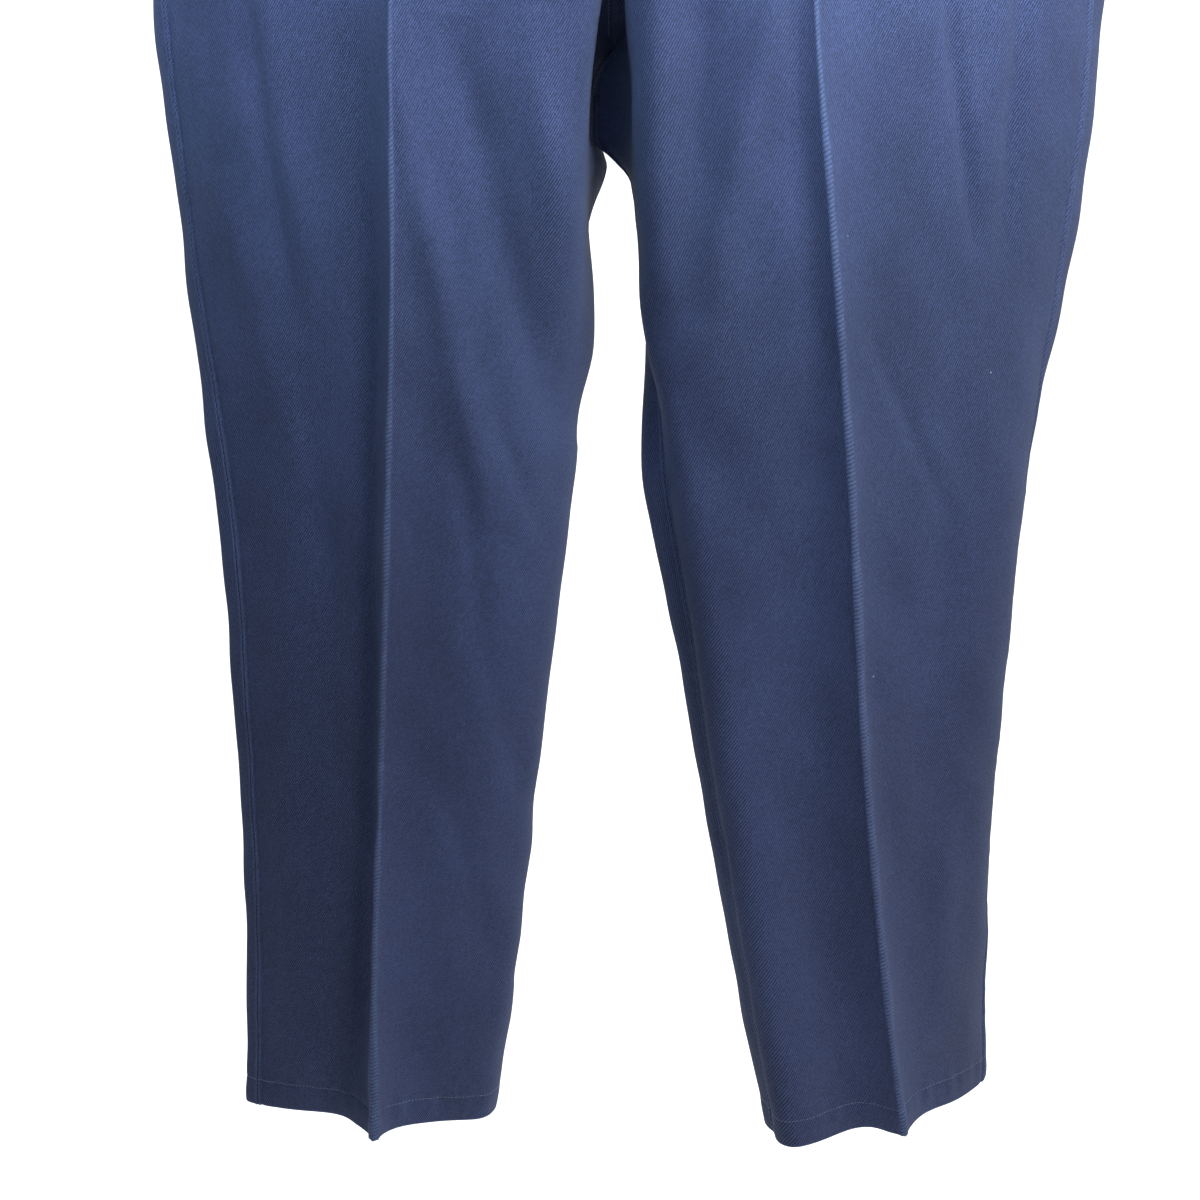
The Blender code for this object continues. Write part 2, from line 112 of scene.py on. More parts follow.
RISE = (
    (20, 0, -60, 0, 180), (-20, 0, -61, 0, 180), (-100, 0, -76, 0, 180), (-150, 0, -72, 0, 180),
    (-180, 0, -55, 0, 180), (-205, 0, -34, 0, 180), (-225, 0, -14, 4, 176), (-239, 0, 6, 20, 160),
    (-245, 0, 22, 55, 125),
)
SEAT = (
    (20, 0, 60, 180), (-20, 0, 62, 180), (-100, 0, 88, 180), (-160, 0, 97, 180), (-200, 0, 92, 168),
    (-225, 0, 74, 140), (-239, 0, 48, 104), (-245, 0, 22, 86),
)
RIGHT_LEG = Leg(
    side=-1,
    outseam=(
        (20, 246, 0, -90), (-20, 248, 0, -90), (-60, 269, 0, -80), (-110, 292, 0, -67),
        (-160, 308, 0, -54), (-200, 313, 0, -44), (-245, 312, 0, -41), (-340, 306, 0, -46),
        (-450, 296, 0, -34), (-550, 286, 1, -22), (-650, 281, 2, -20), (-850, 279, 4, -24),
        (-1066, 288, 8, -16),
    ),
    crease=(
        (20, 120, -52, -8, -8), (-20, 120, -52, -8, -8), (-100, 134, -70, -20, -4),
        (-170, 143, -78, -28, 8), (-245, 146, -84, -34, 20), (-378, 149, -80, -38, 26),
        (-550, 158, -67, -46, 30), (-750, 170, -56, -56, 34), (-950, 183, -45, -66, 46),
        (-1066, 187, -39, -76, 60),
    ),
    fold=(
        (20, 40, -59, -3), (-20, 40, -60, -3), (-100, 42, -75, -2), (-150, 30, -75, 12),
        (-180, 19, -68, 50), (-200, 12, -60, 78), (-220, 9, -55, 90), (-245, 12, -50, 92),
        (-280, 17, -47, 93), (-340, 20, -42, 88), (-400, 29, -34, 76), (-550, 44, -24, 56),
        (-750, 70, -19, 46), (-950, 95, -9, 32), (-1066, 115, -2, 20),
    ),
    inseam=RISE + (
        (-250, 2.5, 28, 70, 74), (-258, 9.5, 31, 80, 64), (-280, 18, 33, 88, 52), (-311, 18, 33, 90, 48),
        (-328, 6, 30, 90, 80), (-352, 14, 26, 90, 90), (-378, 24, 22, 92, 92), (-450, 29, 17, 94, 94),
        (-550, 37, 14, 92, 92), (-650, 49, 12, 90, 90), (-750, 61, 13, 88, 88), (-850, 71, 15, 88, 88),
        (-950, 84, 20, 86, 86), (-1066, 101, 34, 82, 82),
    ),
    seat=SEAT,
    back=(
        (20, 120, 52, 188, 188), (-20, 122, 54, 188, 188), (-100, 138, 88, 184, 190),
        (-170, 150, 108, 176, 196), (-245, 156, 112, 166, 206), (-378, 158, 102, 158, 212),
        (-550, 162, 86, 152, 212), (-750, 170, 76, 150, 210), (-950, 180, 70, 148, 210),
        (-1066, 186, 68, 146, 212),
    ),
)
LEFT_LEG = Leg(
    side=1,
    outseam=(
        (20, 246, 0, -90), (-20, 248, 0, -90), (-60, 271, 0, -80), (-110, 300, 0, -65),
        (-160, 323, 0, -48), (-200, 331, 0, -36), (-245, 331, 0, -42), (-340, 326, 1, -41),
        (-450, 317, 6, -52), (-550, 308, 14, -76), (-650, 304, 22, -86), (-850, 301, 36, -82),
        (-950, 304, 42, -70), (-1066, 310, 48, -55),
    ),
    crease=(
        (20, 118, -52, -8, -8), (-20, 118, -53, -8, -8), (-100, 122, -70, -20, -4),
        (-170, 124, -79, -28, 10), (-245, 129, -84, -36, 22), (-378, 144, -80, -40, 26),
        (-550, 164, -66, -46, 26), (-750, 183, -52, -52, 28), (-950, 209, -40, -58, 30),
        (-1066, 228, -33, -62, 32),
    ),
    fold=(
        (20, 40, -59, -3), (-20, 40, -60, -3), (-100, 42, -75, -2), (-150, 28, -76, 12),
        (-180, 17, -69, 50), (-200, 10, -61, 78), (-220, 7, -56, 90), (-245, 8, -51, 92),
        (-280, 11, -48, 95), (-340, 15, -44, 90), (-400, 22, -43, 74), (-450, 34, -42, 54),
        (-500, 48, -42, 34), (-550, 61, -41, 19), (-750, 95, -39, 3), (-950, 128, -38, -8),
        (-1066, 147, -38, -15),
    ),
    inseam=RISE + (
        (-250, -1.5, 25, 45, 128), (-258, -8, 27, 38, 128), (-280, -14, 27, 32, 134),
        (-311, -14, 26, 36, 130), (-325, 0, 24, 60, 100), (-342, 15, 20, 90, 92), (-378, 21, 8, 86, 86),
        (-450, 30, -10, 60, 60), (-550, 37, -18, 24, 24), (-650, 55, -20, 32, 32),
        (-750, 71, -22, 41, 41), (-950, 106, -26, 48, 48), (-1066, 128, -24, 54, 54),
    ),
    seat=SEAT,
    back=(
        (20, 120, 52, 188, 188), (-20, 122, 54, 188, 188), (-100, 138, 88, 184, 190),
        (-170, 152, 108, 176, 196), (-245, 160, 112, 166, 206), (-378, 164, 102, 158, 212),
        (-550, 168, 88, 150, 212), (-750, 178, 80, 142, 206), (-950, 190, 76, 134, 200),
        (-1066, 196, 74, 128, 196),
    ),
)
LEGS = {"right": RIGHT_LEG, "left": LEFT_LEG}

# Soft folds of each panel, in mm: (across and z at the top, across and z at the foot, width, rise).
# A trough has a negative rise.
FOLDS = {
    ("right", "front"): (
        (144, -275, 86, -585, 14, 8.2), (112, -120, 98, -330, 18, -3.6), (111, -240, 40, -525, 15, -7.4),
        (54, -235, 20, -520, 15, 8.0), (84, -500, 50, -600, 6, -2.4), (108, -520, 96, -660, 9, -2.6),
        (104, -640, 62, -830, 10, -2.6), (130, -760, 86, -960, 10, -2.2), (258, -150, 222, -450, 8, -3.6),
        (243, -150, 208, -440, 13, 3.0), (278, -330, 212, -590, 14, 3.4),
        (220, -490, 204, -680, 10, -3.4), (240, -430, 244, -1100, 24, 5.0),
    ),
    ("left", "front"): (
        (26, -90, 30, -480, 12, 6.5), (58, -110, 54, -440, 14, -7.2), (124, -120, 62, -430, 16, 7.6),
        (212, -180, 252, -395, 6, -5.8), (277, -110, 272, -400, 8, -6.5), (176, -120, 196, -420, 16, 2.4),
        (168, -430, 248, -590, 7, -2.4), (206, -150, 222, -500, 20, 2.2),
        (236, -540, 246, -800, 16, -1.8), (196, -640, 226, -900, 14, 1.6),
        (256, -800, 262, -1000, 12, 1.4),
    ),
    ("right", "back"): (
        (90, -90, 60, -300, 14, -2.9), (230, -140, 236, -420, 12, -3.8), (120, -250, 96, -520, 15, -3.2),
        (210, -500, 222, -860, 16, -2.2), (96, -300, 190, -620, 13, 3.2),
    ),
    ("left", "back"): (
        (96, -90, 70, -290, 14, -2.6), (244, -120, 250, -400, 12, -3.8), (130, -270, 118, -560, 15, -2.9),
        (228, -520, 246, -880, 16, -2.2), (88, -330, 200, -660, 13, 2.9),
    ),
}

FOLD_EASE = 0.6

# The pressed creases, in mm: rows of (z, rise, reach to the left, reach to the right, depth of the
# soft trough on the left, its distance from the crease, its width), left and right as the photo shows.
# A trough with a negative depth is a swell.
PLEATS = {
    "right": (
        (20, 0.0, 8, 8, 0.0, 30, 22), (-120, 0.7, 8, 8, 2.4, 30, 22), (-245, 1.7, 8, 9, 5.4, 29, 21),
        (-350, 2.6, 8, 10, 7.4, 26, 18), (-450, 2.8, 8, 10, 7.6, 22, 15), (-600, 3.0, 8, 12, 7.4, 19, 13),
        (-760, 3.0, 8, 14, 7.2, 18, 13), (-900, 3.2, 8, 15, 7.4, 19, 13),
        (-1000, 3.0, 8, 15, 2.5, 22, 14), (-1066, 3.0, 8, 15, -5.0, 26, 15),
    ),
    "left": (
        (20, 0.0, 12, 6, 0.0, 13, 9), (-120, 0.7, 12, 6, 1.5, 13, 9), (-245, 2.2, 12, 6, 3.2, 13, 9),
        (-350, 3.1, 12, 6, 4.4, 15, 10), (-450, 3.6, 14, 7, 5.4, 18, 12), (-560, 4.0, 16, 8, 6.4, 30, 20),
        (-650, 4.3, 18, 9, 7.0, 40, 27), (-800, 4.3, 18, 12, 6.6, 42, 27),
        (-950, 3.8, 18, 14, 5.4, 38, 25), (-1066, 3.1, 16, 14, 4.2, 34, 22),
    ),
}
BACK_PLEAT_SHARE = 0.6

# How far the front panel stands out beside the inseam, below the crotch, and how far from the seam.
INSEAM_ROLL = 0.0075
INSEAM_REACH = 0.017
INSEAM_START_Z = -0.36
INSEAM_FADE = 0.10

# Low unevenness of hanging cloth: (wavelengths in mm along X, Y and Z, turn in degrees, rise in mm).
RIPPLES = (
    (121, 300, 533, 12, 0.34), (-87, 260, 371, 71, 0.26), (66, 180, 240, 160, 0.18),
    (-151, 210, 163, 230, 0.22), (49, 150, 310, 301, 0.11), (210, 400, 118, 40, 0.14),
    (62, 200, 86, 30, 0.34), (-71, 230, 113, 205, 0.26), (44, 160, 131, 77, 0.16),
    (-97, 140, 59, 318, 0.20),
)

# Fineness of the cloth: rows as stretches of (from, to, steps), and distances from the hem's
# edge in mm below them. Columns are closest at the seams and creases.
ROW_STRETCHES = (
    (PANEL_TOP, -0.150, 20),
    (-0.150, -0.225, 14),
    (-0.225, CROTCH_Z, 8),
    (CROTCH_Z, -0.262, 8),
    (-0.262, -0.360, 28),
    (-0.360, HEM_Z + 0.0300, 92),
)
HEM_ROWS = (27, 25, 23.6, 22.8, 22.2, 21.6, 20.8, 19.6, 17.5, 15, 12, 9, 6.5, 4.5, 3, 1.8, 0.9, 0.3, 0)
EDGE_OFFSETS = np.array([0.0, 0.5, 1.0, 1.6, 2.4, 3.4, 4.8, 7.0]) * MM
EDGE_SHARE = 0.42
OUTER_MIDDLE = 54
INNER_MIDDLE = 54
FOLD_MIDDLE = 12
BACK_MIDDLE = 38
CREASE_COLUMN = 2 * len(EDGE_OFFSETS) + OUTER_MIDDLE - 2
BACK_CREASE_COLUMN = 2 * len(EDGE_OFFSETS) + BACK_MIDDLE - 2

# Relief along seams, creases and hems, in metres. Each seam has a rolled edge, a ridge pressed
# beside it and, on the front panel, a groove.
SEAM_RIDGE = 0.0007
SEAM_GROOVE = 0.0009
SEAM_ROLL = 0.0006
HEM_GROOVE = 0.0005
HEM_PUFF = 0.0004
HEM_PUCKER = 0.0005
SEAM_PUCKER = 0.0004
SEAM_RIDGE_IN = 0.0013
SEAM_GROOVE_IN = 0.0036
CREASE_REACH = 0.0016
CREASE_CLEAR = 0.005
HEM_SAG = 0.0040
HEM_SAG_REACH = 0.048
HEM_SAG_HEIGHT = 0.090
HEM_DIP = 0.0016
HEM_DIP_IN = 0.012
HEM_DIP_REACH = 0.009

# Puckers are two waves, each with its wavelength in mm and its turn in radians.
SEAM_PUCKERS = ((21, 1.1), (147, 0.4))
HEM_PUCKERS = ((23, 0.7), (13.3, 2.1))
HEM_PUCKER_SHARE = 0.6

# How much the dye is rubbed away on creases, beside seams and on the hems' edges, 0 to 1.
CREASE_WEAR = 0.28
SEAM_WEAR = 0.22
SEAM_WEAR_IN = 0.0012
HEM_WEAR = 0.35

Cloth = namedtuple("Cloth", "outer inner normals uv wear from_inseam above_hem")


# ---------------------------------------------------------------- settings
def length_setting(name, description, default):
    return FloatProperty(name=name, description=description, default=default, unit="LENGTH")


def power_setting(name, description, default):
    return FloatProperty(name=name, description=description, default=default, unit="POWER")


def colour_setting(name, description, *shares):
    return FloatVectorProperty(
        name=name, description=description, size=4, subtype="COLOR", default=(*shares, 1.0)
    )


class WorkPantsCloth(PropertyGroup):
    """Sizes of the cloth and its sewing."""

    wall: length_setting("Cloth thickness", "Thickness of one layer of twill", 0.0009)
    hem_wall: length_setting("Hem thickness", "Thickness where the hem is turned up inside", 0.0024)
    hem_depth: length_setting("Hem depth", "Height of the hem's stitching above its edge", 0.022)
    crease_rise: length_setting("Crease rise", "How far a pressed crease stands proud", 0.0009)
    fold_factor: FloatProperty(
        name="Fold depth", description="Scales every soft fold", default=1.0, subtype="FACTOR"
    )
    stitch_pitch: length_setting("Stitch pitch", "Distance between stitches", 0.0029)
    stitch_length: length_setting("Stitch length", "Length of thread that shows in a stitch", 0.0021)
    thread_width: length_setting("Thread width", "Width of the sewing thread", 0.0006)
    seed: IntProperty(name="Seed", description="Seed of the stitches' unevenness", default=11)


class WorkPantsFinish(PropertyGroup):
    """Colours and the twill's spacing."""

    navy: colour_setting("Navy", "Dyed colour of the twill", 0.0355, 0.0505, 0.121)
    deep_navy: colour_setting("Deep navy", "Colour between the twill's ridges", 0.0074, 0.0110, 0.030)
    worn_navy: colour_setting("Worn navy", "Rubbed colour on creases and seams", 0.100, 0.140, 0.250)
    thread: colour_setting("Thread", "Colour of the sewing thread", 0.075, 0.10, 0.175)
    button: colour_setting("Button", "Colour of the button", 0.012, 0.016, 0.034)
    twill_spacing: length_setting("Twill spacing", "Distance between two ridges of the twill", 0.0015)


class WorkPantsStage(PropertyGroup):
    """Floor, lights and sky."""

    floor_colour: colour_setting("Floor", "Colour of the floor and backdrop", 0.9, 0.9, 0.9)
    floor_z: length_setting("Floor height", "Height of the floor", -1.45)
    key_power: power_setting("Key light", "Power of the main soft light", 25.0)
    near_power: power_setting("Near light", "Power of the near light on the right", 5.2)
    accent_power: power_setting("Accent light", "Power of the cool lights near the top", 3.4)
    side_power: power_setting("Side light", "Power of the light from the right", 4.0)
    fill_power: power_setting("Fill light", "Power of the front fill light", 2.2)
    rim_power: power_setting("Backdrop light", "Power on the backdrop", 165.0)
    sky: FloatProperty(name="Sky", description="Strength of the even white surroundings", default=0.02)


def cloth_sizes():
    return bpy.context.scene.work_pants_cloth


def finishes():
    return bpy.context.scene.work_pants_finish


# ---------------------------------------------------------------- plan sections
def smooth_columns(rows, z):
    """Values of every column but the height, at heights z, on monotone cubics."""
    table = np.array(rows, dtype=float)[::-1]
    heights = table[:, 0] * MM
    values = table[:, 1:]
    steps = np.diff(heights)[:, None]
    slopes = np.diff(values, axis=0) / steps
    tangents = np.zeros_like(values)
    tangents[0] = slopes[0]
    tangents[-1] = slopes[-1]
    same_way = slopes[:-1] * slopes[1:] > 0
    with np.errstate(divide="ignore", invalid="ignore"):
        harmonic = 2 * slopes[:-1] * slopes[1:] / (slopes[:-1] + slopes[1:])
    tangents[1:-1] = np.where(same_way, harmonic, 0.0)
    z = np.clip(np.asarray(z, dtype=float), heights[0], heights[-1])
    low = np.clip(np.searchsorted(heights, z) - 1, 0, len(heights) - 2)
    step = steps[low]
    s = ((z - heights[low])[:, None]) / step
    rise = s * s * (3 - 2 * s)
    start = s * (1 - s) ** 2 * step
    end = -s * s * (1 - s) * step
    between = values[low] + rise * (values[low + 1] - values[low])
    return between + start * tangents[low] + end * tangents[low + 1]


def heading_vector(degrees):
    """Plan direction (across, depth) of each heading."""
    radians = np.radians(degrees)
    return np.stack([-np.cos(radians), np.sin(radians)], axis=-1)


def arc(start_rows, end_rows, middle, close_start=True, close_end=True):
    """Cubic curves between two points, with close columns at the marked ends.

    They leave on the last heading of the start's rows and arrive on the first one of the end's.
    """
    start, start_heading = start_rows[:, :2], start_rows[:, -1]
    end, end_heading = end_rows[:, :2], end_rows[:, 2]
    chord = np.linalg.norm(end - start, axis=-1)
    near = EDGE_OFFSETS[None, :] * np.minimum(1.0, EDGE_SHARE * chord * MM / EDGE_OFFSETS[-1])[:, None]
    near = near / (chord * MM)[:, None]
    first = near if close_start else near[:, :1]
    last = 1 - near[:, ::-1] if close_end else 1 - near[:, :1]
    share = np.linspace(0.0, 1.0, middle + 1)[None, 1:-1]
    between = first[:, -1:] + share * (last[:, :1] - first[:, -1:])
    t = np.concatenate([first, between, last], axis=1)[:, :, None]
    reach = HANDLE * chord[:, None]
    leave = (start + reach * heading_vector(start_heading))[:, None]
    arrive = (end - reach * heading_vector(end_heading))[:, None]
    near_part = (1 - t) ** 3 * start[:, None] + 3 * t * (1 - t) ** 2 * leave
    return near_part + 3 * t ** 2 * (1 - t) * arrive + t ** 3 * end[:, None]


def join(*arcs):
    """Arcs end to end, each shared end kept once."""
    return np.concatenate([arcs[0]] + [piece[:, 1:] for piece in arcs[1:]], axis=1)


def leg_sections(leg, z):
    """Plan points of the front and the back panel at heights z, each in walking order."""
    out, crease, fold, inner, seat, back = (smooth_columns(rows, z) for rows in leg[1:])
    below = (z <= CROTCH_Z + MM / 10)[:, None]
    at_crotch = (np.abs(z - CROTCH_Z) < MM / 10)[:, None]
    seat = np.where(below & ~at_crotch, inner[:, (0, 1, 3)], seat)
    outer_arc = arc(out, crease, OUTER_MIDDLE)
    inner_arc = arc(crease, fold, INNER_MIDDLE, close_end=False)
    fold_arc = arc(fold, inner, FOLD_MIDDLE, close_start=False)
    seat_arc = arc(seat, back, BACK_MIDDLE)
    hip_arc = arc(back, out, BACK_MIDDLE)
    return join(outer_arc, inner_arc, fold_arc) * MM, join(seat_arc, hip_arc) * MM, crease[:, 0] * MM


def to_world(leg, plan, z, crease_across):
    """Plan points at their heights; the hems lean up outwards, square to the leg."""
    lean = HEM_LEAN * np.clip((LEAN_START_Z - z) / (LEAN_START_Z - HEM_Z), 0.0, 1.0)
    lift = lean[:, None] * (plan[..., 0] - crease_across[:, None])
    return np.stack([leg.side * plan[..., 0], plan[..., 1], z[:, None] + lift], axis=-1)


# ---------------------------------------------------------------- cloth surfaces
def unit(vectors):
    return vectors / np.maximum(np.linalg.norm(vectors, axis=-1, keepdims=True), 1e-12)


def run_lengths(points):
    """Length along each row from its first column."""
    steps = np.linalg.norm(np.diff(points, axis=-2), axis=-1)
    start = np.zeros(steps.shape[:-1] + (1,))
    return np.concatenate([start, np.cumsum(steps, axis=-1)], axis=-1)


def bump(distance, width):
    """A soft ridge's profile, 1 at its middle."""
    return np.exp(-((distance / width) ** 2))


def waves(run, table):
    """Sine waves along a length, one for each (wavelength, turn)."""
    return [np.sin(math.tau * run / MM / wavelength + turn) for wavelength, turn in table]


def leg_normals(leg, front, back, z):
    """Outward normals of both panels. Neighbouring pieces share them at their seams."""
    down_front, along_front = np.gradient(front, axis=(0, 1))
    down_back, along_back = np.gradient(back, axis=(0, 1))
    at_outseam = front[:, 1] - back[:, -2]
    along_front[:, 0] = at_outseam
    along_back[:, -1] = at_outseam
    at_inseam = back[:, 1] - front[:, -2]
    towards_middle = np.array([-float(leg.side), 0.0, 0.0])
    above = (z > CROTCH_Z + MM / 10)[:, None]
    along_front[:, -1] = np.where(above, towards_middle, at_inseam)
    along_back[:, 0] = np.where(above, -towards_middle, at_inseam)
    front_normals = unit(np.cross(along_front, down_front)) * leg.side
    back_normals = unit(np.cross(along_back, down_back)) * leg.side
    crotch = int(np.argmin(np.abs(z - CROTCH_Z)))
    shared = unit(front_normals[crotch + 1, -1] + np.array([0.0, 0.0, -1.0]))
    front_normals[crotch, -1] = shared
    back_normals[crotch, 0] = shared
    return front_normals, back_normals


def ripples(points):
    """Low unevenness at each point, the same for every piece that meets there."""
    height = np.zeros(points.shape[:-1])
    for x, y, z, turn, rise in RIPPLES:
        phase = points[..., 0] / x + points[..., 1] / y + points[..., 2] / z
        height += rise * MM * np.sin(math.tau * phase / MM + math.radians(turn))
    return height


def folds(label, panel, points):
    """Height of the soft folds of one panel."""
    across = np.abs(points[..., 0])
    height = np.zeros(across.shape)
    for top_across, top_z, foot_across, foot_z, width, rise in FOLDS[label, panel]:
        share = (points[..., 2] / MM - top_z) / (foot_z - top_z)
        inside = np.sin(math.pi * np.clip(share, 0.0, 1.0)) ** FOLD_EASE
        middle = (top_across + share * (foot_across - top_across)) * MM
        height += rise * MM * inside * bump(across - middle, width * MM)
    return height * cloth_sizes().fold_factor


def pleat_height(label, z, towards_left):
    """Height of a pressed crease and its soft trough at distances to its left, below zero to its right."""
    shape = [column[:, None] for column in smooth_columns(PLEATS[label], z).T]
    rise, left_reach, right_reach, trough, away, width = shape
    distance = towards_left / MM
    reach = np.where(distance > 0, left_reach, right_reach)
    height = rise * np.exp(-np.abs(distance) / reach) - trough * bump(distance - away, width)
    return height * MM


def inseam_roll(distance, z):
    """The front panel's soft roll beside the inseam. It fades out towards the crotch."""
    below = np.clip((INSEAM_START_Z - z) / INSEAM_FADE, 0.0, 1.0)[:, None]
    share = distance / INSEAM_REACH
    return INSEAM_ROLL * below * share * np.exp(1 - share)


def seam_relief(distance, puckers, grooved):
    """The rolled edge and pressed ridge of a seam, with a groove beside it on the front panel."""
    height = SEAM_RIDGE * bump(distance - SEAM_RIDGE_IN, 1.0 * MM) - SEAM_ROLL * bump(distance, 0.5 * MM)
    height += SEAM_PUCKER * puckers * bump(distance, 9 * MM) * (1 - bump(distance, 1.5 * MM))
    if grooved:
        height -= SEAM_GROOVE * bump(distance - SEAM_GROOVE_IN, 1.3 * MM)
    return height


def hem_drop(from_outseam, from_crease, above_hem):
    """How far the lowest cloth hangs down towards the outseam and beside the crease."""
    sag = HEM_SAG * bump(from_outseam, HEM_SAG_REACH)
    dip = HEM_DIP * bump(from_crease - HEM_DIP_IN, HEM_DIP_REACH)
    return np.clip(1 - above_hem / HEM_SAG_HEIGHT, 0.0, 1.0) * (sag + dip)


def hem_relief(above_hem, run):
    """The turned-up hem: a stitched groove, a soft puff under it, puckers and a rolled edge."""
    depth = cloth_sizes().hem_depth
    first, second = waves(run, HEM_PUCKERS)
    puckers = first + HEM_PUCKER_SHARE * second
    height = -HEM_GROOVE * bump(above_hem - depth, 0.9 * MM) - HEM_GROOVE * bump(above_hem, 0.6 * MM)
    height = height + HEM_PUFF * bump(above_hem - depth / 2, depth / 3)
    return height + HEM_PUCKER * puckers * bump(above_hem - depth * 0.8, depth * 0.45)


def panel_cloth(leg, label, panel, points, normals, z):
    """One panel's outer and inner skin with its folds, ridges, wear and weave coordinates."""
    sizes = cloth_sizes()
    run = run_lengths(points)
    if panel == "front":
        crease_column = CREASE_COLUMN
        from_outseam, from_inseam = run, run[:, -1:] - run
        crease_sharpness = 1.0
    else:
        crease_column = BACK_CREASE_COLUMN
        from_outseam, from_inseam = run[:, -1:] - run, run
        crease_sharpness = BACK_PLEAT_SHARE
    from_crease = run - run[:, crease_column, None]
    above_hem = np.broadcast_to((z - HEM_Z)[:, None], run.shape)
    first, second = waves(z[:, None], SEAM_PUCKERS)
    puckers = first * second
    points = points.copy()
    points[..., 2] -= hem_drop(from_outseam, leg.side * from_crease, above_hem)
    height = sizes.crease_rise * np.exp(-np.abs(from_crease) / CREASE_REACH) * crease_sharpness
    for distance in (from_outseam, from_inseam):
        height = height + seam_relief(distance, puckers, panel == "front")
    broad = ripples(points) + folds(label, panel, points) * (1 - bump(from_crease, CREASE_CLEAR))
    broad = broad + pleat_height(label, z, leg.side * from_crease) * crease_sharpness
    if panel == "front":
        broad = broad + inseam_roll(from_inseam, z)
    height = height + hem_relief(above_hem, from_crease)
    outer = points + normals * (height + broad)[..., None]
    past_turning = (above_hem - sizes.hem_depth - 1.5 * MM) / (0.4 * MM)
    turned = 1 / (1 + np.exp(np.clip(past_turning, -50, 50)))
    wall = sizes.wall + (sizes.hem_wall - sizes.wall) * turned
    inner = points + normals * (broad - wall)[..., None]
    uv = np.stack([-leg.side * from_crease, np.broadcast_to(z[:, None], run.shape)], axis=-1)
    ridge = bump(from_outseam - SEAM_WEAR_IN, 0.8 * MM) + bump(from_inseam - SEAM_WEAR_IN, 0.8 * MM)
    wear = CREASE_WEAR * bump(from_crease, 1.0 * MM) * crease_sharpness
    wear = np.clip(wear + SEAM_WEAR * ridge + HEM_WEAR * bump(above_hem, 1.0 * MM), 0.0, 1.0)
    return Cloth(outer, inner, normals, uv, wear, from_inseam, above_hem)


def row_heights():
    stretches = [np.linspace(top, bottom, steps + 1)[1:] for top, bottom, steps in ROW_STRETCHES]
    return np.concatenate([[PANEL_TOP]] + stretches + [HEM_Z + np.array(HEM_ROWS) * MM])


@lru_cache(maxsize=None)
def leg_cloth(label):
    """The front and the back cloth of one leg."""
    leg = LEGS[label]
    z = row_heights()
    *plans, crease_across = leg_sections(leg, z)
    panels = [to_world(leg, plan, z, crease_across) for plan in plans]
    both = zip(("front", "back"), panels, leg_normals(leg, *panels, z))
    return {panel: panel_cloth(leg, label, panel, points, normals, z) for panel, points, normals in both}


def placed_object(name, data):
    """A new object in the scene."""
    made = bpy.data.objects.new(name, data)
    bpy.context.scene.collection.objects.link(made)
    return made


def make_object(name, mesh, material):
    piece = placed_object(name, mesh)
    mesh.materials.clear()
    mesh.materials.append(material)
    return piece


def cloth_piece(solid, outer, inner, uv, wear):
    """The closed cloth of a solid, between an outer and an inner skin of the same rows and columns."""
    name = solid + "_cloth"
    rows, columns = outer.shape[:2]
    count = rows * columns
    index = np.arange(count).reshape(rows, columns)
    quads = np.stack([index[:-1, :-1], index[:-1, 1:], index[1:, 1:], index[1:, :-1]], axis=-1)
    quads = quads.reshape(-1, 4)
    rim = np.concatenate([index[0, :], index[1:, -1], index[-1, -2::-1], index[-2:0:-1, 0]])
    ahead = np.roll(rim, -1)
    sides = np.stack([rim, rim + count, ahead + count, ahead], axis=-1)
    faces = np.concatenate([quads, quads[:, ::-1] + count, sides])
    vertices = np.concatenate([outer.reshape(-1, 3), inner.reshape(-1, 3)])
    mesh = bpy.data.meshes.new(name)
    mesh.from_pydata(vertices.tolist(), [], faces.tolist())
    smooth = np.ones(len(faces), dtype=bool)
    smooth[-len(sides):] = False
    mesh.polygons.foreach_set("use_smooth", smooth)
    corner = np.empty(len(mesh.loops), dtype=np.int32)
    mesh.loops.foreach_get("vertex_index", corner)
    layer = mesh.uv_layers.new(name="weave")
    layer.data.foreach_set("uv", uv.reshape(-1, 2)[corner % count].astype(np.float32).ravel())
    marks = {
        "wear": np.concatenate([wear.ravel(), np.zeros(count)]),
        "inside": np.arange(2 * count) >= count,
    }
    for title, values in marks.items():
        attribute = mesh.attributes.new(title, "FLOAT", "POINT")
        attribute.data.foreach_set("value", values.astype(np.float32))
    cage = bmesh.new()
    cage.from_mesh(mesh)
    bmesh.ops.recalc_face_normals(cage, faces=cage.faces[:])
    cage.to_mesh(mesh)
    cage.free()
    return make_object(name, mesh, twill_material())


# ---------------------------------------------------------------- finishes
def feed(tree, socket, value):
    """Links a socket to another one, or sets its number or colour."""
    if isinstance(value, bpy.types.NodeSocket):
        tree.links.new(value, socket)
    else:
        socket.default_value = value


def set_inputs(tree, made, inputs):
    for key, value in inputs.items():
        feed(tree, made.inputs[key], value)


def node(tree, kind, inputs=None, **settings):
    """A node with its settings, and with its inputs set to numbers or linked to sockets."""
    made = tree.nodes.new(kind)
    for name, value in settings.items():
        setattr(made, name, value)
    set_inputs(tree, made, inputs or {})
    return made


def maths(tree, operation, *values, clamp=False):
    """A Math node on numbers or sockets. Returns its output."""
    inputs = dict(enumerate(values if len(values) > 1 else (*values, 0.0)))
    return node(tree, "ShaderNodeMath", inputs, operation=operation, use_clamp=clamp).outputs[0]


def mixed(tree, factor, first, second):
    """Two colours mixed by a factor. Returns the colour socket."""
    return node(tree, "ShaderNodeMix", {0: factor, 6: first, 7: second}, data_type="RGBA").outputs[2]


